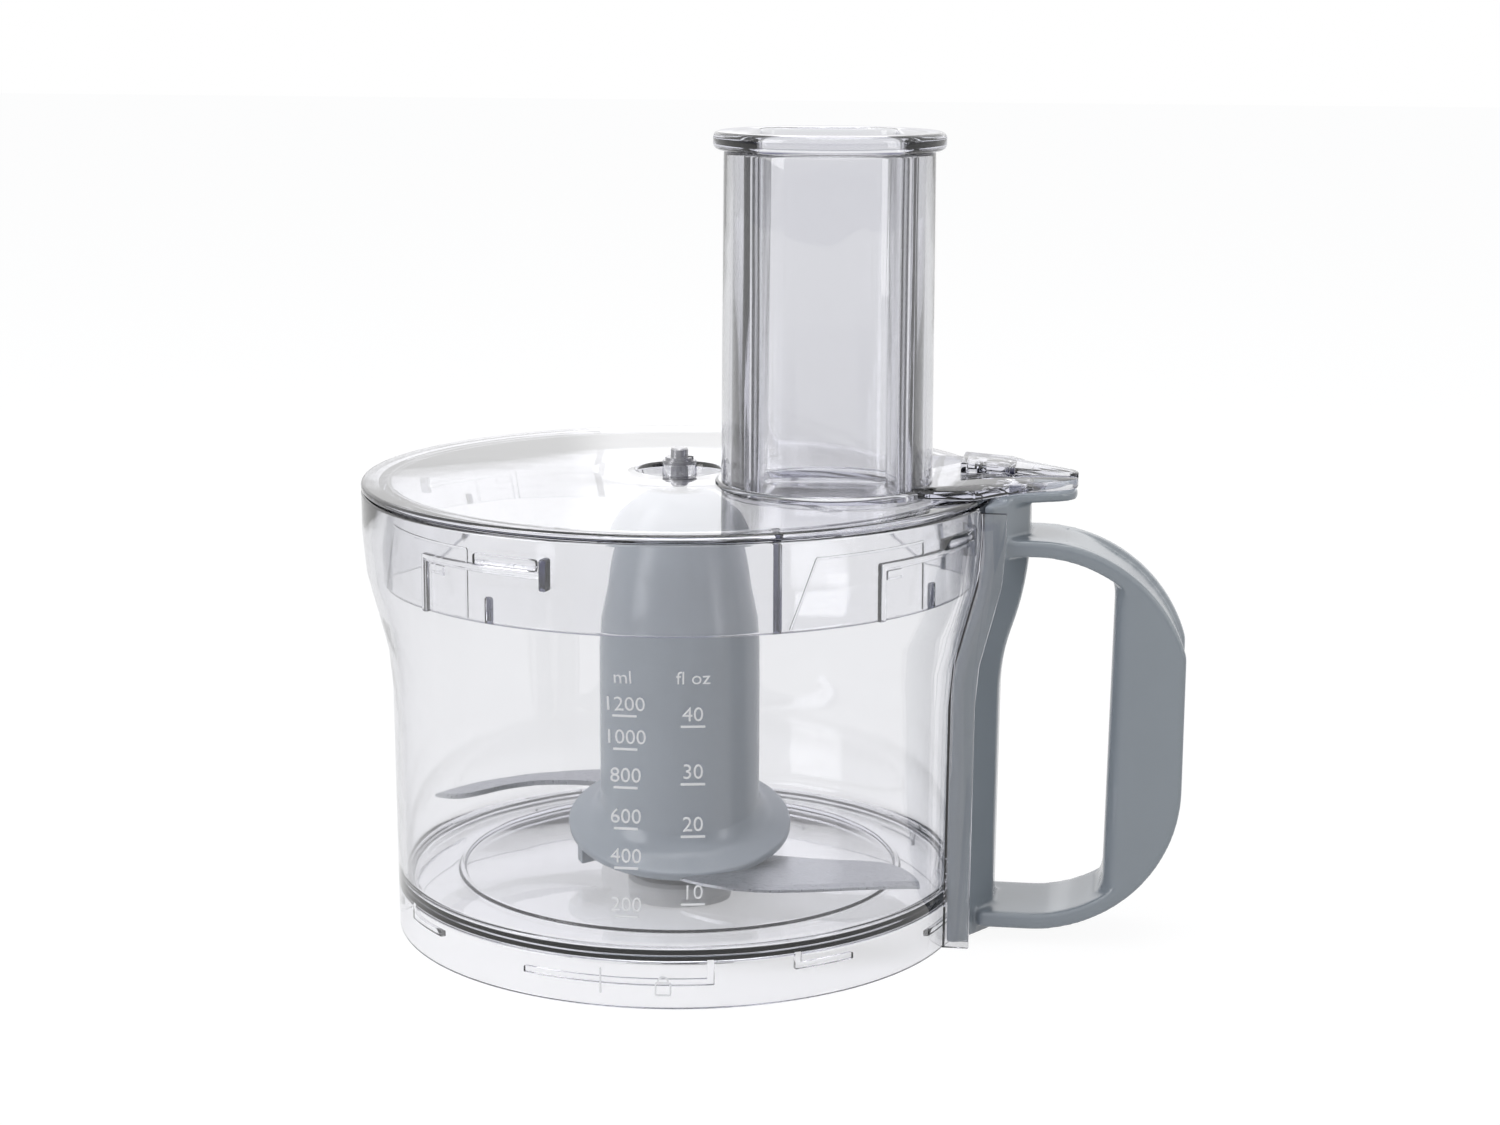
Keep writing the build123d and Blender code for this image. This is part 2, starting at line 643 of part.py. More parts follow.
def make_lid():
    """Clear lid: plate, skirt with bayonet shelves, tab with its ribbed box."""
    body = lid_plate()
    body += tube_solid(skirt_radius, skirt_radius - skirt_wall, skirt_bottom, lid_bottom + 1)

    # shelves that pass under the bowl's lugs, each with a leg, and an end stop beyond the lug
    skirt_middle = skirt_radius - skirt_wall / 2
    shelf_outer = lug_inner + bayonet_bite
    shelf_end = lug_angle - lug_span / 2 - shelf_lead
    shelf_middle = shelf_end + shelf_span / 2
    shelf_bottom = shelf_top - shelf_height
    shelf = arc_block(skirt_middle, shelf_outer, shelf_bottom, shelf_top, shelf_middle, shelf_span)
    shelf += arc_block(skirt_middle, shelf_outer, skirt_bottom, shelf_top, shelf_end, leg_span)
    stop_outer = rim_radius - wall - skin_gap
    stop_angle = lug_angle + (lug_span + leg_span) / 2 + stop_gap
    stop_top = lug_bottom + lug_height
    shelf += arc_block(skirt_middle, stop_outer, lug_bottom - stop_drop, stop_top, stop_angle, leg_span)
    # stiffening ribs inside the skirt
    rib_inner = skirt_radius - skirt_wall - skirt_rib
    shelf += arc_block(rib_inner, skirt_middle, skirt_bottom, lid_bottom, tall_rib_angle, leg_span)
    short_rib_top = skirt_bottom + short_rib_height
    shelf += arc_block(rib_inner, skirt_middle, skirt_bottom, short_rib_top, short_rib_angle, leg_span)
    for piece in around(bayonet_count, shelf):
        body += piece

    # tab: plate over the thumb plate, raised box with cross ribs on its far half
    inner_reach = rim_radius - 10
    body += extrude(Plane.XY.offset(tab_bottom) * tab_outline(0), tab_thick)
    box_length = tab_nose - inner_reach - 3
    outer_box = Pos(inner_reach, 0, 0) * box_wedge(box_length, box_depth, tab_bottom, box_top, 0)
    inner_box = box_wedge(box_length, box_depth, tab_bottom - 1, box_top, box_wall)
    inner_box = Pos(inner_reach, 0, 0) * inner_box
    inner_box -= rod_solid(rim_radius + box_wall, 0, lid_rim_top)
    plan = extrude(Plane.XY.offset(tab_bottom - 1) * tab_outline(0), 12)
    body += outer_box & plan
    body -= inner_box & extrude(Plane.XY.offset(tab_bottom - 1) * tab_outline(box_wall), 12)
    for place in box_rib_places:
        rib = Box(box_rib, box_depth - 1, 8, align=(Align.CENTER, Align.CENTER, Align.MIN))
        body += Pos(rim_radius + place, box_depth / 2, tab_bottom) * rib & outer_box & plan

    # collar round the feed tube's hole, and the hole itself
    collar_top = lid_rim_top + tube_collar_height
    body += at_tube(rod_solid(tube_radius + tube_collar, lid_rim_top - 1.5, collar_top))
    body -= at_tube(rod_solid(tube_radius, tube_bottom - 2, tube_top))

    # cam groove in the tab's underside: it lets the interlock rod rise as the lid turns
    slope = cam_steepness * rod_travel / (radians(lid_unlock_angle) * rod_upper_x)
    start = rod_width / 2
    run = tab_shoulder + 10
    wedge = Plane.YZ * make_face(Polyline(
        (start, tab_bottom), (-run, tab_bottom + slope * (run + start)), (-run, tab_bottom - 2),
        (start, tab_bottom - 2), close=True,
    ))
    groove = Pos(rod_upper_x, 0, 0) * extrude(wedge, 20, both=True)
    half_groove = rod_thick / 2 + 2 * skin_gap
    return body - (groove & tube_solid(rod_upper_x + half_groove, rod_upper_x - half_groove, 0, box_top))


def box_wedge(length, depth, bottom, top, inset):
    """Low box whose roof slopes down to the tab's nose; inset shrinks it."""
    side = make_face(Polyline(
        (inset, bottom), (length - inset, bottom), (length - inset, top - box_slope - inset),
        (inset, top - inset), close=True,
    ))
    return Pos(0, depth - inset, 0) * extrude(Plane.XZ * side, depth - 2 * inset)


def make_feed_tube():
    """Slightly tapered tube welded into the lid's collar."""
    inner = tube_radius - tube_wall
    return at_tube(turned_points(
        (inner, tube_bottom), (tube_radius, tube_bottom), (tube_radius - tube_draft, tube_top),
        (inner - tube_draft, tube_top),
    ))


def make_lid_pin():
    """Steel pin through the lid's boss: a collar below, a clip groove above."""
    collar_top = recess_floor - lid_thick - running_gap
    pin = rod_solid(pin_radius, hub_top - pin_reach, pin_top)
    pin = chamfer(pin.edges().filter_by(GeomType.CIRCLE), 0.4)
    pin += rod_solid(pin_radius + pin_collar_rim, collar_top - pin_collar_thick, collar_top)
    groove_bottom = boss_top + running_gap + pin_washer_thick
    groove_top = groove_bottom + pin_clip_thick
    return pin - tube_solid(pin_radius + 1, pin_radius - groove_depth, groove_bottom, groove_top)


def make_pin_washer():
    """Washer between the lid's boss and the pin's clip."""
    bottom = boss_top + running_gap
    outer = pin_radius + pin_washer_rim
    return tube_solid(outer, pin_radius + running_gap, bottom, bottom + pin_washer_thick)


def make_pin_clip():
    """Spring clip in the pin's groove."""
    bottom = boss_top + running_gap + pin_washer_thick
    inner = pin_radius - groove_depth
    return open_ring(pin_radius + pin_clip_rim, inner, bottom, bottom + pin_clip_thick)


# ---------------------------------------------------------------- pusher
def make_pusher():
    """Hollow pusher: square cup, side wings that fit the tube, round flange on top."""
    flange_bottom = tube_top + seat_gap
    cup_bottom = tube_bottom + 1.5
    cup = RectangleRounded(cup_side, cup_side, cup_corner)
    room = RectangleRounded(cup_side - 2 * cup_wall, cup_side - 2 * cup_wall, cup_corner - cup_wall)
    body = extrude(Plane.XY.offset(cup_bottom) * cup, flange_bottom - cup_bottom + 1)
    flange = rod_solid(tube_radius + flange_rim, flange_bottom, flange_bottom + flange_thick)
    flange = fillet(flange.edges().filter_by(GeomType.CIRCLE), flange_edge)
    body += flange
    wing_radius = tube_radius - tube_wall - tube_draft - skin_gap
    wing_span = 2 * wing_half_angle
    for middle in (0, 180):
        wing = (wing_radius - wing_wall, wing_radius, cup_bottom, flange_bottom + 1)
        body += arc_block(*wing, middle, wing_span)
        web = Box(wing_radius - cup_side / 2, wing_wall, flange_bottom - cup_bottom, align=(
            Align.MIN, Align.CENTER, Align.MIN))
        web -= Pos(2.2, 0, flange_bottom - cup_bottom - notch_height) * Box(notch_width, 5, 2 * notch_height)
        body += Rot(0, 0, middle) * Pos(cup_side / 2 - 0.5, 0, cup_bottom) * web
    body -= extrude(Plane.XY.offset(cup_bottom + cup_wall) * room, tube_length + 20)
    return at_tube(Rot(0, 0, pusher_turn - tube_angle) * body)


# ---------------------------------------------------------------- handle
def strap_outline():
    """Side view of the strap's outside: straight arms, two bends and the grip."""
    high_x, high_z = upper_bend_x, handle_top - upper_bend
    low_x, low_z = grip_outer - lower_bend, handle_bottom + lower_bend
    corner_z = high_z + sqrt(upper_bend ** 2 - (grip_outer - high_x) ** 2)
    slant = sin(radians(45))
    root = base_radius + 2
    return Wire([
        Line((root, handle_bottom), (low_x, handle_bottom)),
        ThreePointArc(
            (low_x, handle_bottom), (low_x + lower_bend * slant, low_z - lower_bend * slant),
            (grip_outer, low_z),
        ),
        Line((grip_outer, low_z), (grip_outer, corner_z)),
        ThreePointArc(
            (grip_outer, corner_z), (high_x + upper_bend * slant, high_z + upper_bend * slant),
            (high_x, handle_top),
        ),
        Line((high_x, handle_top), (root, handle_top)),
        Line((root, handle_top), (root, handle_bottom)),
    ])


def make_strap():
    """Band that forms arms and outer face, with the rounded grip inside its bends."""
    outline = make_face(strap_outline())
    half = handle_width / 2
    band = extrude(Plane.XZ * (outline - offset(outline, -arm_thick)), half, both=True)
    keep = Pos(base_radius + 2 + arm_thick, 0, 0) * Box(
        200, 100, 400, align=(Align.MIN, Align.CENTER, Align.CENTER))
    band &= keep
    scoop = extrude(Plane.XZ * (outline - offset(outline, -scoop_depth)), scoop_width / 2, both=True)
    outer_side = Box(200, 100, 400, align=(Align.MIN, Align.CENTER, Align.CENTER))
    band -= scoop & Pos(upper_bend_x + 8, 0, 0) * outer_side

    grip_inner = grip_outer - grip_thick
    arm_low = handle_bottom + lower_arm_thick
    arm_high = handle_top - arm_thick
    start_x = grip_inner - window_corner - 4
    path = FilletPolyline(
        (start_x, arm_high), (grip_inner + grip_lean, arm_high), (grip_inner - grip_lean, arm_low),
        (start_x, arm_low), radius=window_corner,
    )
    path = Plane.XZ * path
    section = Pos(0, grip_thick / 2) * Rectangle(handle_width, grip_thick - 1)
    section = fillet(section.vertices().group_by(Axis.Y)[0], grip_edge)
    core = sweep(Plane(origin=path @ 0, x_dir=(0, 1, 0), z_dir=path % 0) * section, path)
    core &= extrude(Plane.XZ * offset(outline, -scoop_depth - 0.3), half + 1, both=True)
    return band + core


def make_handle():
    """Grey moulding: hollow spine, strap handle and thumb plate."""
    outside = spine_sweep(0, spine_foot, plate_bottom + 1)
    hollow = spine_sweep(spine_wall, spine_foot - 1, plate_bottom - spine_wall)
    body = make_strap() + outside
    plate = nose_plate(tab_nose, thumb_nose_radius, rim_radius + 4, thumb_half_width)
    body += extrude(Plane.XY.offset(plate_bottom) * plate, thumb_plate_thick)
    body -= hollow
    boss_bottom = screw_lug_bottom + screw_lug_thick
    boss_top_z = screw_lug_bottom + screw_length + 2
    for side in (-1, 1):
        body += screw_block(side, boss_bottom, boss_top_z) & outside
        body -= at_screw(side) * rod_solid(screw_radius, 0, screw_lug_bottom + screw_length)
    body -= bowl_envelope(0, -1, bowl_height + 10)
    slot = Box(rod_thick + 2 * skin_gap, rod_width + 2 * skin_gap, 20)
    return body - Pos(rod_upper_x, 0, thumb_plate_top) * slot


def make_handle_screws():
    """Two pan-head screws that go up through the bowl's lugs into the handle."""
    head_bottom = screw_lug_bottom - screw_head_thick
    screw = rod_solid(screw_head_radius, head_bottom, screw_lug_bottom)
    screw += rod_solid(screw_radius, screw_lug_bottom, screw_lug_bottom + screw_length - 1)
    cross = Box(2.6, 0.6, 0.8) + Box(0.6, 2.6, 0.8)
    screw -= Pos(0, 0, head_bottom) * cross
    return Compound([at_screw(side) * screw for side in (-1, 1)])


# ---------------------------------------------------------------- interlock
def make_interlock_rod():
    """Cranked bar in the spine that the lid's tab pushes down."""
    half = rod_thick / 2
    bend_low, bend_high = flare_bottom + rod_bend_margin[0], flare_top + rod_bend_margin[1]
    middle = [
        (rod_lower_x, rod_foot), (rod_lower_x, bend_low), (rod_upper_x, bend_high), (rod_upper_x, rod_top)
    ]
    left = [(x - half, z) for x, z in middle]
    right = [(x + half, z) for x, z in reversed(middle)]
    bar = extrude(Plane.XZ * make_face(Polyline(*left, *right, close=True)), rod_width / 2, both=True)
    return bar + Pos(rod_lower_x, 0, 0) * rod_solid(stem_radius, stem_bottom, rod_foot)


def make_channel_cap():
    """Plug in the spine's foot that guides the rod's stem and carries its spring."""
    half = screw_offset - screw_head_radius - 1.0
    cap = spine_sweep(spine_wall, screw_lug_bottom, cap_top)
    cap &= Pos(rod_lower_x, 0, 0) * Box(60, 2 * half, 60)
    cap -= bowl_envelope(0, -1, bowl_height)
    return cap - Pos(rod_lower_x, 0, 0) * rod_solid(stem_radius + 0.3, 0, cap_top + 1)


def make_interlock_spring():
    """Compression spring round the rod's stem."""
    free = rod_foot - cap_top - 2 * spring_wire
    coil = Helix(pitch=free / spring_turns, height=free, radius=stem_radius + 0.5 + spring_wire)
    start = Plane(origin=coil @ 0, z_dir=coil % 0)
    return Pos(rod_lower_x, 0, cap_top + spring_wire) * sweep(start * RegularPolygon(spring_wire, 6), coil)


# ---------------------------------------------------------------- export
parts = {
    "bowl": make_bowl,
    "bearing_bush": make_bearing_bush,
    "shaft_seal": make_shaft_seal,
    "handle": make_handle,
    "handle_screws": make_handle_screws,
    "channel_cap": make_channel_cap,
    "interlock_spring": make_interlock_spring,
    "interlock_rod": make_interlock_rod,
    "drive_shaft": make_drive_shaft,
    "thrust_washer": make_thrust_washer,
    "shaft_circlip": make_shaft_circlip,
    "drive_coupling": make_drive_coupling,
    "coupling_pin": make_coupling_pin,
    "knife_hub": make_knife_hub,
    "hub_socket": make_hub_socket,
    "pin_bush": make_pin_bush,
    "lower_blade": make_lower_blade,
    "upper_blade": make_upper_blade,
    "lid": make_lid,
    "feed_tube": make_feed_tube,
    "lid_pin": make_lid_pin,
    "pin_washer": make_pin_washer,
    "pin_clip": make_pin_clip,
    "pusher": make_pusher,
}
for name, make in parts.items():
    export_step(make(), f"parts/{name}.step")
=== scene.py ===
import bmesh
import bpy
import numpy as np
from math import ceil, cos, hypot, pi, radians, sin, tan
from mathutils import Matrix, Vector
from mathutils.bvhtree import BVHTree


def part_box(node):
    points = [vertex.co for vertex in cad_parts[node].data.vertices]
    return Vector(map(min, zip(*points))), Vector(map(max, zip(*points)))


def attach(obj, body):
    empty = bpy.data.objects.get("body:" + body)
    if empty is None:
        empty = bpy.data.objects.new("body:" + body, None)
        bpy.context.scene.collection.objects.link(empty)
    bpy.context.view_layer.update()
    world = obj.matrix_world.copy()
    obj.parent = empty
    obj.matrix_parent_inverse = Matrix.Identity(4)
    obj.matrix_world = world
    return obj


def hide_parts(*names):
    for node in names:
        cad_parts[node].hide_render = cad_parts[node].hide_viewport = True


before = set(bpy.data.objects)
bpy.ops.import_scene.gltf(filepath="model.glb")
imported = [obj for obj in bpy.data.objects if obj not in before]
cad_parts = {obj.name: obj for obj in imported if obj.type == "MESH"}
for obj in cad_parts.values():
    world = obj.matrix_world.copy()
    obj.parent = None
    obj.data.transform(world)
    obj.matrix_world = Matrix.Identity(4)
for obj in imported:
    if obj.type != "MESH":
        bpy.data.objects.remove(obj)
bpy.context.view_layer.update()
scene = bpy.context.scene
mm = 0.001

# ------------------------------------------------------------ camera and studio
# A short telephoto lens a little above the lid looks down on the bowl, which stands
# on a white sweep.  Large soft boxes stand to the left and overhead, a weak one right.
lens = 65.7
camera = bpy.data.objects.new("camera", bpy.data.cameras.new("camera"))
camera.data.lens = lens
camera.data.sensor_width = 36
look = Matrix.Rotation(radians(8), 4, "Z") @ Matrix.Rotation(radians(78.2), 4, "X")
roll = Matrix.Rotation(0.004, 4, "Z")
camera.matrix_world = Matrix.Translation((0.1264, -0.7550, 0.2637)) @ look @ roll
scene.collection.objects.link(camera)
scene.camera = camera
scene.view_settings.view_transform = "Standard"
scene.cycles.max_bounces = 40
scene.cycles.transmission_bounces = 40
scene.cycles.transparent_max_bounces = 40


class Signal:
    """One output socket of a shader tree, with arithmetic that adds Math nodes."""

    def __init__(self, tree, socket=None):
        self.tree = tree
        self.socket = socket

    def node(self, kind, settings=(), out=0, **inputs):
        """Add a node, apply its settings, then the values or links of its sockets."""
        new = self.tree.nodes.new("ShaderNode" + kind)
        for name, value in dict(settings).items():
            if name == "stops":
                ramp = new.color_ramp
                while len(ramp.elements) < len(value):
                    ramp.elements.new(0.5)
                for element, (place, colour) in zip(ramp.elements, value):
                    element.position = place
                    element.color = colour
            else:
                setattr(new, name, value)
        for name, value in inputs.items():
            index = name[1:]
            socket = new.inputs[int(index) if index.isdigit() else name.replace("_", " ")]
            if isinstance(value, Signal):
                self.tree.links.new(value.socket, socket)
            else:
                socket.default_value = value
        return Signal(self.tree, new.outputs[out])

    def math(self, operation, first, second=0.0):
        return self.node("Math", {"operation": operation}, i0=first, i1=second)

    def __add__(self, other):
        return self.math("ADD", self, other)

    def __sub__(self, other):
        return self.math("SUBTRACT", self, other)

    def __rsub__(self, other):
        return self.math("SUBTRACT", other, self)

    def __mul__(self, other):
        return self.math("MULTIPLY", self, other)

    def __pow__(self, other):
        return self.math("POWER", self, other)

    __radd__ = __add__
    __rmul__ = __mul__

    def blend(self, low, high):
        """Colour that goes from low to high as this signal goes from 0 to 1."""
        settings = {"data_type": "RGBA", "clamp_factor": True}
        return self.node("Mix", settings, out=2, i0=self, i6=low, i7=high)

    def into(self, node_type, socket=0):
        """Link this signal to the tree's output node."""
        made = [node for node in self.tree.nodes if node.bl_idname == node_type]
        output = made[0] if made else self.tree.nodes.new(node_type)
        self.tree.links.new(self.socket, output.inputs[socket])


def empty_tree(owner):
    owner.use_nodes = True
    owner.node_tree.nodes.clear()
    return Signal(owner.node_tree)


world = bpy.data.worlds.new("studio")
scene.world = world
air = empty_tree(world)
direction = air.node("TexCoord", out="Generated")
across, depth, height = (air.node("SeparateXYZ", i0=direction, out=axis) for axis in range(3))


def eased_step(value, start, end):
    """0 before start, 1 after end, smooth between them."""
    return air.node("MapRange", {"interpolation_type": "SMOOTHSTEP"},
                    i0=value, i1=start, i2=end, i3=0.0, i4=1.0)


behind = eased_step(depth, -0.6, 0.3)
band = eased_step(height, 0.02, 0.14)
overhead = eased_step(height, 0.1, 0.5)
strip_middle, strip_half, strip_fade = 0.163, 0.022, 0.028
strip = 1.0 - eased_step(air.math("ABSOLUTE", across + strip_middle), strip_half, strip_half + strip_fade)
dark = (0.15, 0.155, 0.25, 1)
wide_box = strip.blend((1.45, 1.45, 1.46, 1), (2.0, 2.0, 2.02, 1))
mirrored = band.blend(behind.blend(dark, (0.9, 0.9, 0.92, 1)), wide_box)
path = {name: air.node("LightPath", out=name) for name in (
    "Is Camera Ray", "Is Glossy Ray", "Is Transmission Ray", "Glossy Depth", "Diffuse Depth")}
bounced = air.math("MINIMUM", path["Glossy Depth"] + path["Diffuse Depth"], 1.0)
spread = air.math("MINIMUM", path["Diffuse Depth"], 1.0)
straight = path["Is Transmission Ray"] * (1.0 - bounced)
inside = path["Is Transmission Ray"] * bounced
around = (path["Is Glossy Ray"] * (1.0 - spread)).blend((0.42, 0.43, 0.45, 1), mirrored)
around = (inside * (1.0 - spread)).blend(around, behind.blend(dark, (0.85, 0.85, 0.9, 1)))
around = straight.blend(around, overhead.blend((1, 1, 1, 1), dark))
sky = air.node("Background", i0=path["Is Camera Ray"].blend(around, (1, 1, 1, 1)), i1=1.0)
sky.into("ShaderNodeOutputWorld")


def soft_box(name, place, aim, width, height, watts):
    lamp = bpy.data.lights.new(name, "AREA")
    lamp.shape = "RECTANGLE"
    lamp.size = width
    lamp.size_y = height
    lamp.energy = watts
    box = bpy.data.objects.new(name, lamp)
    box.location = place
    box.rotation_euler = (Vector(aim) - Vector(place)).to_track_quat("-Z", "Y").to_euler()
    scene.collection.objects.link(box)


middle = (0, 0, 0.1)
soft_box("left_box", (-1.1, -0.8, 0.75), middle, 0.7, 1.1, 8)
soft_box("top_box", (0.1, 0.1, 1.5), middle, 1.0, 0.8, 6.5)
soft_box("right_box", (1.3, -0.5, 0.5), middle, 0.25, 0.9, 1.8)

bm = bmesh.new()
bmesh.ops.create_grid(bm, x_segments=1, y_segments=1, size=6.0)
bmesh.ops.translate(bm, verts=bm.verts, vec=(0, 0, -0.0003))
floor_mesh = bpy.data.meshes.new("sweep")
bm.to_mesh(floor_mesh)
bm.free()
sweep = bpy.data.objects.new("sweep", floor_mesh)
scene.collection.objects.link(sweep)
paper = bpy.data.materials.new("white_sweep")
tree = empty_tree(paper)
path = {name: tree.node("LightPath", out=name) for name in (
    "Is Camera Ray", "Is Glossy Ray", "Is Transmission Ray", "Glossy Depth", "Diffuse Depth")}
seen = tree.math("MAXIMUM", path["Is Camera Ray"],
                 tree.math("MAXIMUM", path["Is Glossy Ray"], path["Is Transmission Ray"]))
seen = seen * (1.0 - tree.math("MINIMUM", path["Diffuse Depth"], 1.0))
# painted shade: the sweep seen through plastic, also after a reflection, gets less of its white glow, so it
# looks darker through the bowl
through_plastic, after_mirror = 0.36, 0.35
mirrored_once = tree.math("MINIMUM", path["Glossy Depth"], 1.0)
seen = seen * (1.0 - path["Is Transmission Ray"] * mirrored_once * after_mirror)
seen = seen * (1.0 - path["Is Transmission Ray"] * through_plastic)
lit = tree.node("BsdfDiffuse", i0=(0.85, 0.85, 0.85, 1))
glow = tree.node("Emission", i0=(1, 1, 1, 1), i1=1.08)
tree.node("MixShader", i0=seen * 0.86, i1=lit, i2=glow).into("ShaderNodeOutputMaterial")
floor_mesh.materials.append(paper)

# ------------------------------------------------------------ bowl
# One clear moulding in styrene-acrylonitrile: a flared jug with a floor part way up,
# ramps in its foot, a column for the shaft, lugs in its rim and raised volume marks.


def clear_plastic(name, face, edge, roughness, clarity=1.0):
    """Clear moulded plastic with a violet toner that shows where light goes a long way through it; its colour
    turns to the edge colour where the surface is seen edge-on, a painted dark edge shade.
    """
    material = bpy.data.materials.new(name)
    tree = empty_tree(material)
    place = tree.node("TexCoord", out="Object")
    # painted shade: the colour darkens to the edge colour where the surface is seen edge-on
    edge_shade_mask = tree.node("LayerWeight", out="Facing", i0=0.5) ** 7.0
    ripple = tree.node("TexNoise", i2=28.0, i3=2.0, Vector=place)
    haze = tree.node("TexNoise", i2=140.0, i3=3.0, Vector=place)
    bump = tree.node("Bump", i0=0.06, i1=0.002, Height=ripple)
    glass = tree.node(
        "BsdfPrincipled", Base_Color=edge_shade_mask.blend(face, edge), Roughness=haze * 0.03 + roughness,
        IOR=1.57, Transmission_Weight=clarity, Normal=bump,
    )
    clear = tree.node("BsdfTransparent", i0=(0.93, 0.93, 0.945, 1))
    shadow = tree.node("LightPath", out="Is Shadow Ray")
    tree.node("MixShader", i0=shadow, i1=glass, i2=clear).into("ShaderNodeOutputMaterial")
    toner = tree.node("VolumeAbsorption", Color=(0.0, 0.03, 0.35, 1), Density=5.0)
    toner.into("ShaderNodeOutputMaterial", 1)
    return material


# the plastic's own face tint, and the dark violet painted on edge-on faces as edge shade
toned, painted_edge_shade = (0.975, 0.975, 0.982, 1), (0.11, 0.115, 0.21, 1)
bowl_clear = clear_plastic("bowl_clear_plastic", toned, painted_edge_shade, 0.01)


def rounded(*corners, turn=radians(11)):
    """Outline from (x, z) corners; one given a third number gets an arc of that radius."""
    outline = []
    count = len(corners)
    for index, corner in enumerate(corners):
        here = Vector(corner[:2])
        if len(corner) == 2:
            outline.append(here)
            continue
        back = (Vector(corners[index - 1][:2]) - here).normalized()
        ahead = (Vector(corners[(index + 1) % count][:2]) - here).normalized()
        half = back.angle(ahead) / 2
        centre = here + (back + ahead).normalized() * corner[2] / sin(half)
        first = here + back * corner[2] / tan(half) - centre
        sweep_angle = pi - 2 * half
        if back.cross(ahead) > 0:
            sweep_angle = -sweep_angle
        steps = max(2, ceil(abs(sweep_angle) / turn))
        for step in range(steps + 1):
            angle = sweep_angle * step / steps
            outline.append(centre + Matrix.Rotation(angle, 2) @ first)
    return outline


def spun(outline, steps=180):
    """Solid turned about Z from an outline in millimetres; it may start and end on the axis."""
    bm = bmesh.new()
    verts = [bm.verts.new((x * mm, 0, z * mm)) for x, z in outline]
    ends = list(zip(verts, verts[1:]))
    if outline[0].x > 0:
        ends.append((verts[-1], verts[0]))
    edges = [bm.edges.new(pair) for pair in ends]
    bmesh.ops.spin(bm, geom=verts + edges, cent=(0, 0, 0), axis=(0, 0, 1), dvec=(0, 0, 0),
                   angle=2 * pi, steps=steps, use_merge=True, use_duplicate=False)
    return cleaned(bm)


def cleaned(bm):
    """Merge doubles, drop what has no area and turn every face outwards."""
    bmesh.ops.remove_doubles(bm, verts=bm.verts, dist=1e-6)
    bmesh.ops.dissolve_degenerate(bm, edges=bm.edges, dist=1e-7)
    bmesh.ops.recalc_face_normals(bm, faces=bm.faces)
    return bm


def softened(bm, width, segments=2, angle=radians(30)):
    """Round every sharp edge of a solid."""
    sharp = [edge for edge in bm.edges if edge.is_manifold and edge.calc_face_angle(0) > angle]
    bmesh.ops.bevel(bm, geom=sharp, offset=width * mm, offset_type="OFFSET", affect="EDGES",
                    segments=segments, profile=0.5, material=-1, clamp_overlap=True)
    return cleaned(bm)


def ring_block(inner, outer, bottom, top, middle_angle, span, edge=0.3):
    """Block bent round the Z axis, with softened edges; angles in degrees."""
    bm = bmesh.new()
    corners = ((inner, bottom), (outer, bottom), (outer, top), (inner, top))
    face = bm.faces.new([bm.verts.new((x * mm, 0, z * mm)) for x, z in corners])
    turn_to_start = Matrix.Rotation(radians(middle_angle - span / 2), 3, "Z")
    bmesh.ops.rotate(bm, verts=bm.verts, cent=(0, 0, 0), matrix=turn_to_start)
    bmesh.ops.spin(bm, geom=[face, *face.verts, *face.edges], cent=(0, 0, 0), axis=(0, 0, 1),
                   dvec=(0, 0, 0), angle=radians(span), steps=max(2, round(span / 3)), use_merge=False)
    return softened(cleaned(bm), edge)


def box_block(low, high, edge=0.3):
    """Straight block between two corners in millimetres, with softened edges."""
    bm = bmesh.new()
    bmesh.ops.create_cube(bm, size=1.0)
    low, high = Vector(low) * mm, Vector(high) * mm
    bmesh.ops.scale(bm, verts=bm.verts, vec=high - low)
    bmesh.ops.translate(bm, verts=bm.verts, vec=(low + high) / 2)
    return softened(bm, edge)


def copies(count, make):
    """The same block made count times round the Z axis."""
    return [turned_by(make(), 360 / count * index) for index in range(count)]


def turned_by(bm, degrees):
    """Turn a part about the bowl's axis."""
    bmesh.ops.rotate(bm, verts=bm.verts, cent=(0, 0, 0), matrix=Matrix.Rotation(radians(degrees), 3, "Z"))
    return bm


def moved(bm, x, y, z=0.0):
    bmesh.ops.translate(bm, verts=bm.verts, vec=Vector((x, y, z)) * mm)
    return bm


def gathered(parts):
    """Several separate solids in one mesh."""
    whole = bmesh.new()
    for part in parts:
        mesh = bpy.data.meshes.new("part")
        part.to_mesh(mesh)
        part.free()
        whole.from_mesh(mesh)
        bpy.data.meshes.remove(mesh)
    return whole


def combined(first, second, operation):
    """Exact union, difference or intersection of two closed meshes."""
    holders = []
    for bm in (first, second):
        mesh = bpy.data.meshes.new("cut")
        bm.to_mesh(mesh)
        bm.free()
        holder = bpy.data.objects.new("cut", mesh)
        scene.collection.objects.link(holder)
        holders.append(holder)
    cut = holders[0].modifiers.new("cut", "BOOLEAN")
    cut.operation = operation
    cut.solver = "EXACT"
    cut.object = holders[1]
    made = holders[0].evaluated_get(bpy.context.evaluated_depsgraph_get())
    result = bmesh.new()
    result.from_mesh(made.to_mesh())
    made.to_mesh_clear()
    for holder in holders:
        mesh = holder.data
        bpy.data.objects.remove(holder)
        bpy.data.meshes.remove(mesh)
    bmesh.ops.remove_doubles(result, verts=result.verts, dist=1e-6)
    bmesh.ops.dissolve_degenerate(result, edges=result.edges, dist=1e-7)
    return result


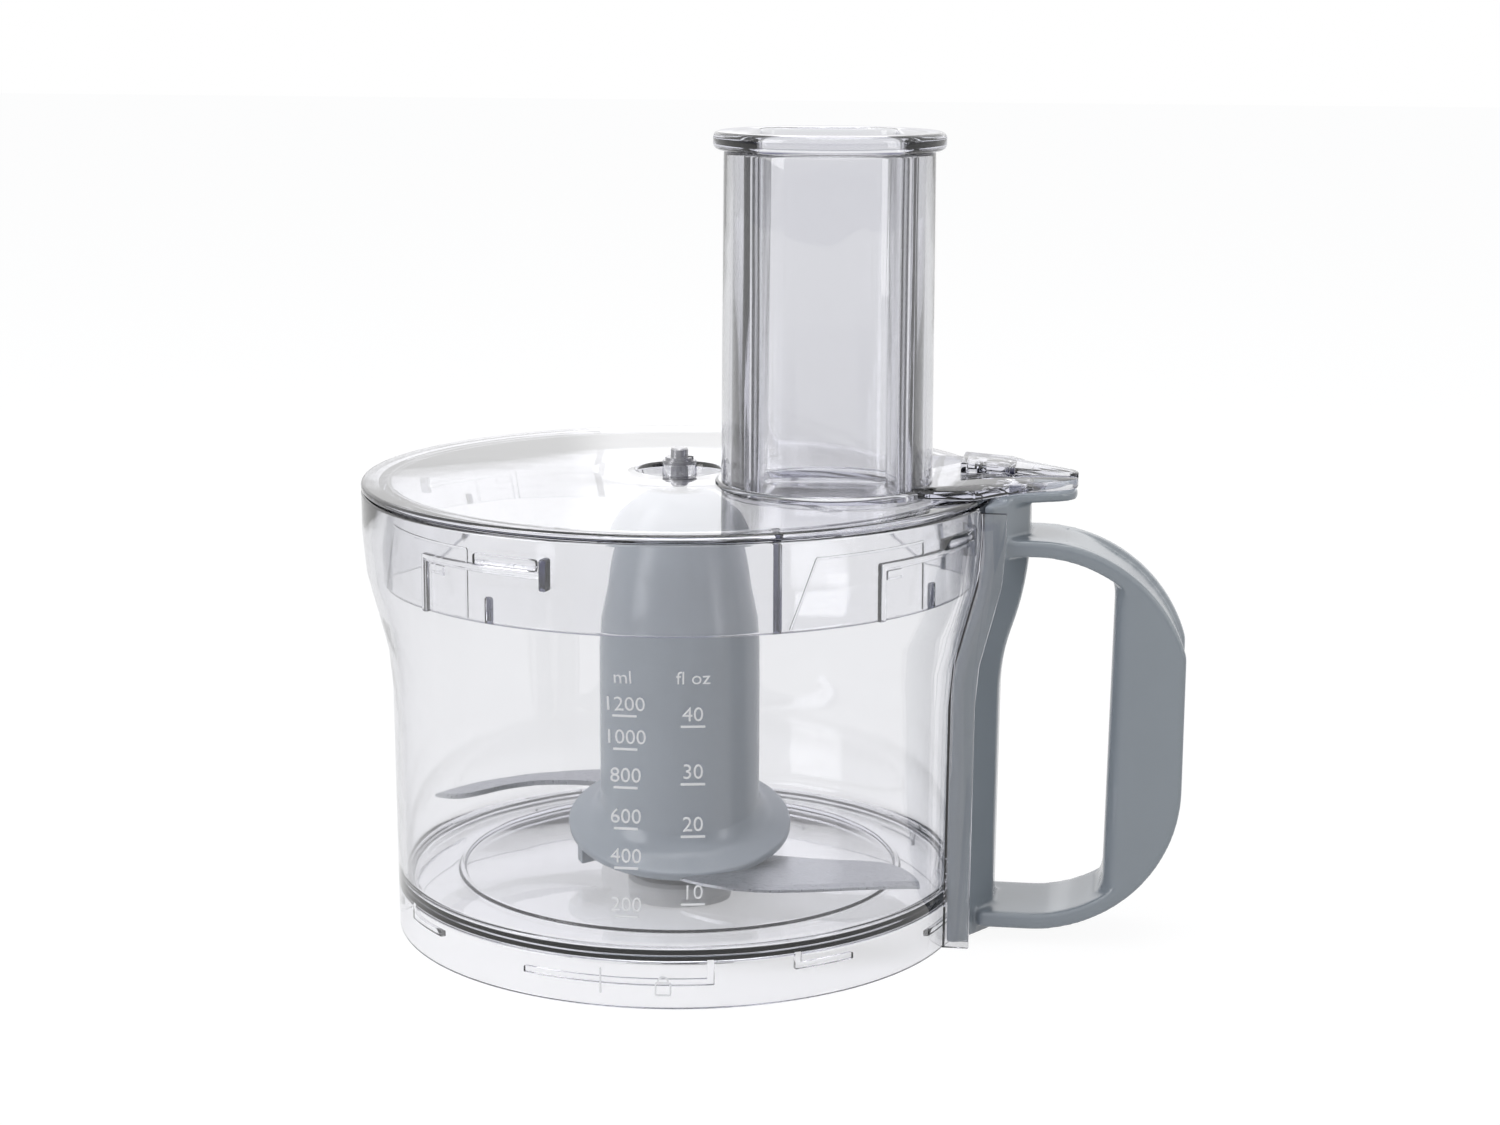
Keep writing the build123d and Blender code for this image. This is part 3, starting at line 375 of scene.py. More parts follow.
def piece(name, bm, material, body, slot, *stands_for, crease=35):
    """Finished object: smooth but for its creases, riding on its body."""
    mesh = bpy.data.meshes.new(name)
    bm.to_mesh(mesh)
    bm.free()
    mesh.shade_smooth()
    mesh.set_sharp_from_angle(angle=radians(crease))
    mesh.materials.append(material)
    made = bpy.data.objects.new(name, mesh)
    scene.collection.objects.link(made)
    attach(made, body)
    if stands_for:
        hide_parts(*stands_for)
    return made


def true_normals(made, *outlines):
    """Shade the faces on a spun outline by its own curve, so that no cut leaves a ripple in the clear wall.

    Each outline comes with the place of its axis: (outline, x, y).
    """
    touch, parallel = 0.03, 0.97
    mesh = made.data
    count = len(mesh.loops)
    place = np.empty(len(mesh.vertices) * 3)
    mesh.vertices.foreach_get("co", place)
    corner = np.empty(count, dtype=int)
    mesh.loops.foreach_get("vertex_index", corner)
    place = place.reshape(-1, 3)[corner] / mm
    sides = np.empty(len(mesh.polygons), dtype=int)
    mesh.polygons.foreach_get("loop_total", sides)
    facing = np.empty(len(mesh.polygons) * 3)
    mesh.polygons.foreach_get("normal", facing)
    facing = np.repeat(facing.reshape(-1, 3), sides, axis=0)
    shaded = np.empty(count * 3)
    mesh.corner_normals.foreach_get("vector", shaded)
    shaded = shaded.reshape(-1, 3)
    for outline, axis_x, axis_y in outlines:
        # each segment of the outline with its normal, shared with a neighbour at a gentle turn
        start = np.array([(point.x, point.y) for point in outline])
        step = np.roll(start, -1, axis=0) - start
        length = np.linalg.norm(step, axis=1) + 1e-12
        normal = np.stack((step[:, 1], -step[:, 0]), axis=1) / length[:, None]
        before = np.roll(normal, 1, axis=0)
        smooth = np.sum(before * normal, axis=1) > 0.8
        first = np.where(smooth[:, None], before + normal, normal)
        after = np.roll(normal, -1, axis=0)
        last = np.where(np.roll(smooth, -1)[:, None], after + normal, normal)
        # each corner's radius and height, and how its face is turned in that plane
        arm = place[:, :2] - (axis_x, axis_y)
        radius = np.hypot(arm[:, 0], arm[:, 1])
        arm = arm / np.maximum(radius, 1e-9)[:, None]
        spot = np.stack((radius, place[:, 2]), axis=1)
        turned = np.stack((np.sum(facing[:, :2] * arm, axis=1), facing[:, 2]), axis=1)
        agree = turned @ normal.T
        # the nearest segment that faces the same way
        share = np.sum((spot[:, None] - start) * step, axis=2) / length ** 2
        share = np.clip(share, 0, 1)
        gap = np.linalg.norm(spot[:, None] - start - share[:, :, None] * step, axis=2)
        best = np.argmin(gap + 10 * (np.abs(agree) < parallel), axis=1)
        row = np.arange(count)
        # the normal between that segment's ends, turned back round the axis
        share = share[row, best][:, None]
        agree = agree[row, best]
        curve = (1 - share) * first[best] / np.linalg.norm(first[best], axis=1)[:, None]
        curve = curve + share * last[best] / np.linalg.norm(last[best], axis=1)[:, None]
        curve = curve / np.linalg.norm(curve, axis=1)[:, None] * np.sign(agree)[:, None]
        exact = np.concatenate((arm * curve[:, :1], curve[:, 1:]), axis=1)
        lies_on = (gap[row, best] < touch) & (np.abs(agree) > parallel)
        shaded = np.where(lies_on[:, None], exact, shaded)
    mesh.normals_split_custom_set(shaded.tolist())


bowl_low, bowl_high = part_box("bowl")
rim_radius = -bowl_low.x / mm
bowl_height = bowl_high.z / mm
base_radius = 81.5
wall = 2.2
flare_arc = 71.5
flare_corners = (bowl_height - 45.0, bowl_height - 22.6)
waist_radius = base_radius + 0.5
floor_top, floor_under = 15.5, 13.0
ring_radius, ring_width, ring_height = 64.0, 1.6, 0.8
column_radius, column_bore, column_top = 9.05, 6.65, 62.0

bowl_outline = rounded(
    (base_radius, 0.02, 0.5), (waist_radius, flare_corners[0], flare_arc),
    (rim_radius, flare_corners[1], flare_arc), (rim_radius, bowl_height, 0.7),
    (rim_radius - wall, bowl_height, 0.7), (rim_radius - wall, flare_corners[1], flare_arc),
    (waist_radius - wall, flare_corners[0], flare_arc), (base_radius - wall + 0.1, floor_top, 3.0),
    (ring_radius, floor_top, 0.5), (ring_radius, floor_top + ring_height, 0.35),
    (ring_radius - ring_width, floor_top + ring_height, 0.35), (ring_radius - ring_width, floor_top, 0.5),
    (column_radius, floor_top, 1.5), (column_radius, column_top, 0.3), (column_bore, column_top, 0.3),
    (column_bore, floor_under + 30), (column_bore - 0.8, floor_under + 30), (column_bore - 0.8, floor_under),
    (base_radius - wall, floor_under, 1.2), (base_radius - wall, 0.02, 0.4),
)
shell = spun(bowl_outline, 192)
lug_top = bowl_height - 5.6
inside_rim = rim_radius - wall
lug_proud, lug_height, lug_middle, lug_span = 1.7, 3.4, -21.5, 13.0
lugs = copies(4, lambda: ring_block(
    inside_rim - lug_proud, inside_rim + 0.5, lug_top - lug_height, lug_top, lug_middle, lug_span, 1.0))
inside_foot = base_radius - wall
ramp_inner = inside_foot - 1.5


def foot_ramps():
    """A long and a short ramp, each with a leg up to the floor."""
    long_ramp = ring_block(ramp_inner, inside_foot + 0.5, 6.2, 8.0, -93.0, 38.0)
    long_leg = ring_block(ramp_inner, inside_foot + 0.5, 7.0, floor_under + 0.5, -74.7, 1.4)
    short_ramp = ring_block(ramp_inner, inside_foot + 0.5, 8.4, 10.2, -51.5, 13.0)
    short_leg = ring_block(ramp_inner, inside_foot + 0.5, 9.2, floor_under + 0.5, -57.3, 1.4)
    first = combined(long_ramp, long_leg, "UNION")
    return gathered([first, combined(short_ramp, short_leg, "UNION")])


# rails beside the handle's spine, and the two lugs that its screws pull up against


def wall_line(out, bottom, top):
    """Outer wall from bottom to top, moved out by a distance, as corners for rounded()."""
    return [
        (waist_radius - 0.4 + out, bottom), (waist_radius + out, flare_corners[0], flare_arc),
        (rim_radius + out, flare_corners[1], flare_arc), (rim_radius + out, top),
    ]


def plate_upright(outline, half_width, edge=0.3):
    """Flat plate standing in the XZ plane, half_width to each side of it."""
    bm = bmesh.new()
    face = bm.faces.new([bm.verts.new((x * mm, -half_width * mm, z * mm)) for x, z in outline])
    grown = bmesh.ops.extrude_face_region(bm, geom=[face])["geom"]
    far = [item for item in grown if isinstance(item, bmesh.types.BMVert)]
    bmesh.ops.translate(bm, verts=far, vec=(0, 2 * half_width * mm, 0))
    return softened(cleaned(bm), edge)


rail_bottom, rail_top, rail_side = 0.05, bowl_height - 2.1, 21.0
rail_outline = rounded(
    *wall_line(4.2, rail_bottom, rail_top), *reversed(wall_line(-3.9, rail_bottom, rail_top)))
rails = [moved(plate_upright(rail_outline, 1.1), 0, side * rail_side) for side in (-1, 1)]
screw_lugs = [box_block((base_radius - 1, y - 2.6, 2), (base_radius + 4.6, y + 2.6, 5)) for y in (-9, 9)]


def wall_radius(z):
    """Outside radius of the bowl at a height, in millimetres."""
    middle_z = (flare_corners[0] + flare_corners[1]) / 2
    reach = 23.0
    if z < middle_z:
        rise = max(0.0, z - (middle_z - reach))
        return waist_radius - 0.5 * (1 - min(1, z / 70)) + flare_arc - (flare_arc ** 2 - rise ** 2) ** 0.5
    rise = max(0.0, middle_z + reach - z)
    return rim_radius - flare_arc + (flare_arc ** 2 - rise ** 2) ** 0.5


def slab(plan, bottom, top, edge=0.3):
    """Flat plate with a plan outline, between two heights."""
    bm = bmesh.new()
    face = bm.faces.new([bm.verts.new((x * mm, y * mm, bottom * mm)) for x, y in plan])
    grown = bmesh.ops.extrude_face_region(bm, geom=[face])["geom"]
    raised = [item for item in grown if isinstance(item, bmesh.types.BMVert)]
    bmesh.ops.translate(bm, verts=raised, vec=(0, 0, (top - bottom) * mm))
    return softened(cleaned(bm), edge)


def onto_wall(bm, angle, z):
    """Bend a flat relief (x across, y up, its z as thickness) round the bowl's wall."""
    for vert in bm.verts:
        x, y, out = vert.co / mm
        up = z + y
        turn = radians(angle) + x / wall_radius(up)
        vert.co = Vector(((wall_radius(up) + out) * cos(turn), (wall_radius(up) + out) * sin(turn), up)) * mm
    return bm


def lettering(text, size, proud):
    """Letters with rounded edges that stand proud of the wall, centred on x = 0."""
    half_depth, edge = 0.5, 0.18
    curve = bpy.data.curves.new("letters", "FONT")
    curve.body = text
    curve.size = size * mm
    curve.align_x = "CENTER"
    curve.extrude = half_depth * mm
    curve.bevel_depth = edge * mm
    curve.bevel_resolution = 1
    curve.offset = -edge * mm
    curve.resolution_u = 3
    holder = bpy.data.objects.new("letters", curve)
    scene.collection.objects.link(holder)
    flat = holder.evaluated_get(bpy.context.evaluated_depsgraph_get())
    bm = bmesh.new()
    bm.from_mesh(flat.to_mesh())
    flat.to_mesh_clear()
    bpy.data.objects.remove(holder)
    bpy.data.curves.remove(curve)
    bmesh.ops.translate(bm, verts=bm.verts, vec=(0, 0, (proud - half_depth - edge) * mm))
    return cleaned(bm)


def bar(width, thick, proud):
    """Flat bar centred on the origin, cut across so that it can bend."""
    bm = bmesh.new()
    bmesh.ops.create_grid(bm, x_segments=6, y_segments=1, size=0.5)
    bmesh.ops.scale(bm, verts=bm.verts, vec=(width * mm, thick * mm, 1))
    bmesh.ops.translate(bm, verts=bm.verts, vec=(0, 0, -0.5 * mm))
    grown = bmesh.ops.extrude_face_region(bm, geom=list(bm.faces))["geom"]
    far = [item for item in grown if isinstance(item, bmesh.types.BMVert)]
    bmesh.ops.translate(bm, verts=far, vec=(0, 0, (proud + 0.5) * mm))
    return softened(cleaned(bm), 0.14)


def frame_line(width, height, corner, thick, proud):
    """Thin raised outline of a rounded rectangle, centred on the origin."""
    rings = []
    for inset in (0, thick):
        x, y = width / 2 - inset, height / 2 - inset
        plan = rounded(*[(a * x, b * y, corner - inset) for a, b in ((-1, -1), (1, -1), (1, 1), (-1, 1))])
        rings.append(slab(plan, -0.5 - inset, proud + inset, 0.12))
    return combined(rings[0], rings[1], "DIFFERENCE")


def in_slot(bm, slot):
    """Give every face of a part the material slot that it keeps in the finished piece."""
    for face in bm.faces:
        face.material_index = slot
    return bm


# volume marks: (number, height of its line), then the foot's line and its padlock outline
ml_marks = ((200, 25.7), (400, 39.0), (600, 49.8), (800, 60.9), (1000, 71.3), (1200, 80.4))
ounce_marks = ((10, 29.3), (20, 47.9), (30, 62.1), (40, 77.7))
relief = 0.5
marks = []
for column, heading, numbers in ((-90.4, "ml", ml_marks), (-78.15, "fl oz", ounce_marks)):
    marks.append(onto_wall(lettering(heading, 5.2, relief), column, 89.6))
    for number, z in numbers:
        marks.append(onto_wall(lettering(str(number), 5.6, relief), column, z + 1.5))
        marks.append(onto_wall(bar(6.4, 0.6, relief), column, z))
marks.append(onto_wall(bar(0.5, 7.0, 0.3), -95.5, 7.5))
shackle = combined(frame_line(3.0, 4.0, 1.4, 0.45, 0.3), box_block((-3, -3, -2), (3, 0.3, 2)), "DIFFERENCE")
lock = combined(frame_line(4.4, 3.9, 0.6, 0.45, 0.31), moved(shackle, 0, 1.57), "UNION")
marks.append(onto_wall(lock, -83.7, 5.8))
shell = combined(shell, gathered(lugs + copies(4, foot_ramps) + rails + screw_lugs), "UNION")
shell = combined(shell, in_slot(gathered(marks), 1), "UNION")
bowl = piece("bowl_moulding", shell, bowl_clear, "bowl", "clear_plastic", "bowl")
# painted highlight: the raised marks are drawn partly milky white instead of clear, to stand in for the light
# their strokes catch
mark_painted_highlight = clear_plastic("raised_mark_plastic", (1, 1, 1, 1), toned, 0.1, clarity=0.25)
bowl.data.materials.append(mark_painted_highlight)
true_normals(bowl, (bowl_outline, 0, 0))

# ------------------------------------------------------------ handle
# One opaque grey moulding clipped over the bowl's rails: a hollow spine up the wall, a
# strap handle with a dished outer face, and a thumb plate under the lid's tab.  It keeps
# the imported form, with its edges rounded and the dish let in as a slope.


def grey_plastic(name, colour, roughness):
    """Opaque coloured moulding, polished, with a faint flow mottle and ripple."""
    material = bpy.data.materials.new(name)
    tree = empty_tree(material)
    place = tree.node("TexCoord", out="Object")
    mottle = tree.node("TexNoise", i2=40.0, i3=4.0, Vector=place)
    grain = tree.node("TexNoise", i2=900.0, i3=2.0, Vector=place)
    light = tuple(min(1, channel * 1.05) for channel in colour)
    dark = tuple(channel * 0.95 for channel in colour)
    skin = mottle.blend((*dark, 1), (*light, 1))
    ripple = mottle * 0.7 + grain * 0.02
    bump = tree.node("Bump", i0=0.12, i1=0.0006, Height=ripple)
    shader = tree.node("BsdfPrincipled", Base_Color=skin, Roughness=grain * 0.06 + roughness,
                       IOR=1.6, Normal=bump)
    shader.into("ShaderNodeOutputMaterial")
    return material


handle_grey = grey_plastic("handle_grey_plastic", (0.272, 0.304, 0.331), 0.15)


def from_cad(node, voxel, rounds):
    """CAD node's form with its edges and inner corners rounded as a mould leaves them."""
    bm = bmesh.new()
    bm.from_mesh(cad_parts[node].data)
    bmesh.ops.remove_doubles(bm, verts=bm.verts, dist=2e-6)
    mesh = bpy.data.meshes.new("form")
    bm.to_mesh(mesh)
    bm.free()
    holder = bpy.data.objects.new("form", mesh)
    scene.collection.objects.link(holder)
    grid = holder.modifiers.new("grid", "REMESH")
    grid.mode = "VOXEL"
    grid.voxel_size = voxel * mm
    even = holder.modifiers.new("even", "SMOOTH")
    even.factor = 0.5
    even.iterations = rounds
    made = holder.evaluated_get(bpy.context.evaluated_depsgraph_get())
    result = bmesh.new()
    result.from_mesh(made.to_mesh())
    made.to_mesh_clear()
    bpy.data.objects.remove(holder)
    bpy.data.meshes.remove(mesh)
    return result


def eased(bm, node, start, run, half_width, beside, depth):
    """Let a dish in the outer face begin as a slope from x = start instead of a step."""
    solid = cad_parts[node].data
    faces = BVHTree.FromPolygons([v.co for v in solid.vertices], [p.vertices[:] for p in solid.polygons])
    for vert in bm.verts:
        along = (vert.co.x / mm - start) / run
        if 0 <= along < 1 and abs(vert.co.y) < half_width * mm:
            rim = faces.ray_cast(Vector((vert.co.x, beside * mm, 1)), Vector((0, 0, -1)))[0].z
            if abs(rim - vert.co.z) < depth * mm:
                vert.co.z += (rim - vert.co.z) * (1 - along * along * (3 - 2 * along))
    return bm


form = from_cad("handle", voxel=0.75, rounds=7)
form = eased(form, "handle", start=109.8, run=14.0, half_width=11.2, beside=12.3, depth=2.0)
piece("handle_moulding", form, handle_grey, "bowl", "grey_plastic", "handle", crease=70)

# ------------------------------------------------------------ knife hub
# Grey moulding on the shaft: a tall ogive, hollow inside, with a slanted flange low down
# that throws food off the hub, a tab under the flange and a foot that holds the blades.
hub_grey = grey_plastic("hub_grey_plastic", (0.272, 0.303, 0.332), 0.2)
hub_low, hub_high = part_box("knife_hub")
hub_bottom, hub_top = hub_low.z / mm, hub_high.z / mm
hub_radius, hub_top_radius = 23.0, 9.5
socket_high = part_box("hub_socket")[1]
socket_radius, socket_top = socket_high.x / mm, socket_high.z / mm
bush_low, bush_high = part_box("pin_bush")
bush_radius, bush_bottom = bush_high.x / mm, bush_low.z / mm
column_room, room_top = column_radius + 1.0, column_top + 1.5
foot_top = hub_bottom + 19.0
hub_outline = rounded(
    (0, bush_bottom), (bush_radius, bush_bottom), (bush_radius, hub_top, 0.3), (hub_top_radius, hub_top, 0.8),
    (16.8, hub_top - 7.75, 36), (hub_radius, hub_top - 30.3, 92), (hub_radius, hub_bottom, 0.8),
    (column_room, hub_bottom, 0.5), (column_room, room_top, 0.5), (socket_radius, room_top),
    (socket_radius, socket_top), (0, socket_top),
)
hollow_outline = rounded(
    (column_room + 1.8, foot_top), (hub_radius - 2.2, foot_top), (hub_radius - 2.2, hub_top - 42, 40),
    (hub_radius - 6.6, bush_bottom - 7.5), (socket_radius + 3, bush_bottom - 2),
    (socket_radius + 3, column_top + 6), (column_room + 1.8, column_top + 3),
)
flange_z, flange_slope, flange_low = hub_bottom + 11.5, 0.217, -78.0
flange_outline = rounded(
    (15, 8.0), (22.6, 8.0), (24.2, 2.9, 7), (30.4, 0.7), (32.3, 0.0, 0.8), (32.1, -2.1, 0.8),
    (24.8, -3.8, 2.0), (22.6, -5.5), (15, -5.5),
)
tab_top_z = -0.6


def slanted(bm):
    """Slant a level flange: every point sinks with its distance towards the low side."""
    low_side = Vector((cos(radians(flange_low)), sin(radians(flange_low)), 0))
    for vert in bm.verts:
        vert.co.z += flange_z * mm - flange_slope * vert.co.dot(low_side)
    return bm


flange = spun(flange_outline, 128)
flange_tab = turned_by(box_block((hub_radius - 1, -1.5, -6.2), (32.0, 1.5, tab_top_z)), -144)
flange = slanted(combined(flange, flange_tab, "UNION"))
hub = combined(spun(hub_outline, 128), flange, "UNION")
hub = combined(hub, spun(hollow_outline, 96), "DIFFERENCE")
piece("knife_hub_moulding", hub, hub_grey, "knife", "grey_plastic", "knife_hub")

# ------------------------------------------------------------ lid and feed tube
# One clear moulding: a plate that rises to the pin's recess, a deep skirt with bayonet
# shelves, a tab with a ribbed box that works the interlock, and the tall feed tube.
lid_clear = clear_plastic("lid_clear_plastic", toned, painted_edge_shade, 0.01)
# painted shade: the ribs, end stops and tab ribs are the same clear plastic drawn dark grey-violet
rib_painted_shade = clear_plastic("rib_clear_plastic", (0.27, 0.28, 0.34, 1), painted_edge_shade, 0.01)
lid_bottom = bowl_height + 0.3
plate = 2.2
lid_top = lid_bottom + plate
crown = lid_top + 1.7
skirt_radius = rim_radius - wall - 3.2
skirt_wall, skirt_bottom = 1.9, lid_bottom - 25.3
recess_floor = crown - 3.4
boss_top = recess_floor + 5.1
pin_hole = 2.55
lid_outline = rounded(
    (pin_hole, boss_top), (4.7, boss_top, 0.5), (5.0, recess_floor, 0.8), (10.6, recess_floor, 1.0),
    (12.4, crown, 1.2), (24.4, crown, 30), (83.6, lid_top, 20), (rim_radius, lid_top, 1.0),
    (rim_radius, lid_bottom, 0.9), (skirt_radius, lid_bottom, 0.4), (skirt_radius, skirt_bottom, 0.9),
    (skirt_radius - skirt_wall, skirt_bottom, 0.9), (skirt_radius - skirt_wall, lid_bottom + 0.1, 1.2),
    (24.4, crown - plate), (14.4, crown - plate, 1.0), (12.0, recess_floor - plate, 1.0),
    (pin_hole, recess_floor - plate),
)
lid = spun(lid_outline, 192)
shelf_outer = inside_rim - 1.9
shelf_top = lug_top - 3.7
shelf_end = -43.0
skirt_middle = skirt_radius - skirt_wall / 2


def shelf_group():
    """One bayonet shelf with its leg, the end stop and the ribs inside the skirt."""
    base = skirt_bottom + 0.1
    shelf = ring_block(skirt_middle, shelf_outer, shelf_top - 2, shelf_top, shelf_end + 14.5, 29.0, 0.6)
    leg = ring_block(skirt_middle, shelf_outer, base, shelf_top - 0.4, shelf_end + 0.7, 1.4, 0.6)
    stop = ring_block(skirt_middle, inside_rim - 0.4, lug_top - 8.4, lug_top, -14.2, 1.5, 0.7)
    rib_inner = skirt_radius - skirt_wall - 1.3
    tall_rib = ring_block(rib_inner, skirt_middle, base, lid_bottom + 0.5, -63, 1.5, 0.7)
    short_rib = ring_block(rib_inner, skirt_middle, base, skirt_bottom + 7.2, -27, 1.5, 0.7)
    shelf = combined(combined(shelf, leg, "UNION"), in_slot(stop, 1), "UNION")
    return gathered([shelf, in_slot(tall_rib, 1), in_slot(short_rib, 1)])


def panel_line():
    """Thin raised line on the skirt: a top edge, an upright end and a slanted one."""
    proud, base, line_top = skirt_radius + 0.35, skirt_bottom + 1, 120.7
    top_line = ring_block(skirt_middle, proud, 120.4, 121.1, -43.6, 25.0, 0.15)
    end_line = ring_block(skirt_middle, proud, base, line_top, -31.2, 0.5, 0.15)
    slant = ring_block(skirt_middle, proud, base, line_top, -56.0, 0.5, 0.15)
    for vert in slant.verts:
        lean = radians(-5.0) * (line_top - vert.co.z / mm) / 18
        vert.co.rotate(Matrix.Rotation(lean, 3, "Z"))
    return combined(combined(top_line, end_line, "UNION"), slant, "UNION")


lid = combined(lid, gathered(copies(4, shelf_group)), "UNION")
lid = combined(lid, gathered(copies(4, panel_line)), "UNION")
pads = copies(4, lambda: ring_block(skirt_middle, skirt_radius + 0.45, 112.6, 115.2, -39.0, 4.0, 0.45))
lid = combined(lid, gathered(pads), "UNION")

tab_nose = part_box("lid")[1].x / mm
tab_bottom, tab_top = lid_top - 0.2, lid_top + 2.7
box_start, box_side, roof_fall, roof_length = 79.6, 19.0, 2.4, 33.0


def tab_plan(inset):
    """Plan of the tab: hollow sides from the rim, round nose."""
    waist = rim_radius + 6.9
    side = [
        (68.0, 29.6 - inset), (85.2, 27.7 - inset), (waist, 15.0 - inset, 17.0),
        (tab_nose - inset, 5.4 - inset / 2, 6.0 - inset),
    ]
    return rounded(*[(x, -y, *rest) for x, y, *rest in side], *reversed(side))


def tab_box(inset, bottom, top):
    """Half of the tab raised as a low box whose roof falls towards the nose."""
    half = box_block((box_start + inset, inset, bottom), (tab_nose + 5, box_side - inset, top), 0.5)
    box = combined(slab(tab_plan(inset), bottom - 1, top + 1), half, "INTERSECT")
    for vert in box.verts:
        if vert.co.z > (top - 1.2) * mm:
            vert.co.z -= roof_fall * mm * (vert.co.x / mm - box_start) / roof_length
    return box


tab = slab(tab_plan(0.0), tab_bottom, tab_top, 0.5)
tab = combined(tab, tab_box(0.0, tab_bottom + 0.3, tab_top + 3.0), "UNION")
hollow = combined(tab_box(1.8, tab_bottom - 1, tab_top + 1.2), spun([Vector(c) for c in (
    (0, 100), (rim_radius + 1.8, 100), (rim_radius + 1.8, lid_top), (0, lid_top))], 192), "DIFFERENCE")
tab = combined(tab, hollow, "DIFFERENCE")
ribs = [box_block((x - half, 1.0, tab_bottom + 0.2), (x + half, 18.4, tab_top + 1.6))
        for x, half in ((rim_radius - 4.0, 1.3), (rim_radius + 4.3, 1.0))]
tab = combined(tab, in_slot(gathered(ribs), 1), "UNION")
lid = combined(lid, tab, "UNION")

tube_low, tube_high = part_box("feed_tube")
tube_x = (tube_low.x + tube_high.x) / 2 / mm
tube_y = (tube_low.y + tube_high.y) / 2 / mm
tube_radius = (tube_high.x - tube_low.x) / 2 / mm
tube_bottom, tube_top = tube_low.z / mm, tube_high.z / mm
tube_wall, tube_taper = 2.0, 0.5
collar_outline = rounded(
    (0, lid_top - 1.5), (tube_radius + 1.8, lid_top - 1.5), (tube_radius + 1.8, lid_top + 2.4, 1.2),
    (0, lid_top + 2.4),
)
tube_outline = rounded(
    (0, tube_bottom), (tube_radius, tube_bottom, 0.8), (tube_radius - tube_taper, tube_top, 0.8),
    (0, tube_top),
)
bore_outline = rounded(
    (0, tube_bottom - 5), (tube_radius - tube_wall + 0.4, tube_bottom - 5),
    (tube_radius - tube_wall, tube_bottom + 1), (tube_radius - tube_wall - tube_taper, tube_top - 0.8, 0.8),
    (tube_radius - tube_wall + 0.5, tube_top + 2), (0, tube_top + 2),
)
stack = moved(combined(spun(tube_outline, 128), spun(collar_outline, 128), "UNION"), tube_x, tube_y)
lid = combined(combined(lid, stack, "UNION"), moved(spun(bore_outline, 128), tube_x, tube_y), "DIFFERENCE")
lid = piece("lid_moulding", lid, lid_clear, "lid", "clear_plastic", "lid", "feed_tube")
# slot 1 carries the dark painted shade of the ribs and stops
lid.data.materials.append(rib_painted_shade)
true_normals(lid, (lid_outline, 0, 0), *((outline, tube_x, tube_y) for outline in (
    collar_outline, tube_outline, bore_outline)))

# ------------------------------------------------------------ pusher
# Clear moulding that slides in the feed tube: a square cup with wings that fit the
# tube's bore, webs that join them, and a thick round flange to push on.
pusher_clear = clear_plastic("pusher_clear_plastic", (0.952, 0.952, 0.96, 1), painted_edge_shade, 0.012)
pusher_low, pusher_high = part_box("pusher")
flange_radius = (pusher_high.x - pusher_low.x) / 2 / mm
flange_top, flange_bottom = pusher_high.z / mm, pusher_high.z / mm - 5.0
cup_bottom = pusher_low.z / mm
cup_side, cup_wall, cup_corner = 2 * (tube_radius - 8.7), 2.0, 8.5
wing_radius = tube_radius - tube_wall - tube_taper - 0.4
wing_wall, wing_span = 1.6, 66.0


def square_prism(side, corner, bottom, top, edge):
    """Upright prism on a square with rounded corners."""
    half = side / 2
    plan = rounded((-half, -half, corner), (half, -half, corner), (half, half, corner), (-half, half, corner))
    return slab(plan, bottom, top, edge)


def pusher_side():
    """One wing against the tube's bore, with the notched web that joins it to the cup."""
    wing = ring_block(wing_radius - wing_wall, wing_radius, cup_bottom, flange_bottom + 1, 0, wing_span)
    web_low = (cup_side / 2 - 0.8, -0.8, cup_bottom + 0.2)
    web = box_block(web_low, (wing_radius - 0.4, 0.8, flange_bottom + 0.8), 0.2)
    notch_x = cup_side / 2 + 1.7
    notch = box_block((notch_x, -3, flange_bottom - 4.8), (notch_x + 1.9, 3, flange_bottom), 0.6)
    return combined(wing, combined(web, notch, "DIFFERENCE"), "UNION")


flange = spun(rounded(
    (0, flange_bottom), (flange_radius, flange_bottom, 1.8), (flange_radius, flange_top, 1.8),
    (0, flange_top),
), 128)
cup = square_prism(cup_side, cup_corner, cup_bottom, flange_bottom + 1, 0.6)
sides = gathered([pusher_side(), turned_by(pusher_side(), 180)])
pusher = combined(combined(flange, cup, "UNION"), sides, "UNION")
room = square_prism(
    cup_side - 2 * cup_wall, cup_corner - cup_wall, cup_bottom + cup_wall, flange_top + 10, 1.5)
pusher = combined(pusher, room, "DIFFERENCE")
lip = [edge for edge in pusher.edges
       if min(v.co.z for v in edge.verts) > (flange_top - 0.05) * mm
       and max(hypot(v.co.x, v.co.y) for v in edge.verts) < 26 * mm and edge.calc_face_angle(0) > 1]
bmesh.ops.bevel(pusher, geom=lip, offset=1.3 * mm, offset_type="OFFSET", affect="EDGES", segments=4,
                profile=0.5, material=-1, clamp_overlap=True)
pusher = moved(turned_by(pusher, 8.0), tube_x, tube_y)
piece("pusher_moulding", pusher, pusher_clear, "pusher", "clear_plastic", "pusher")

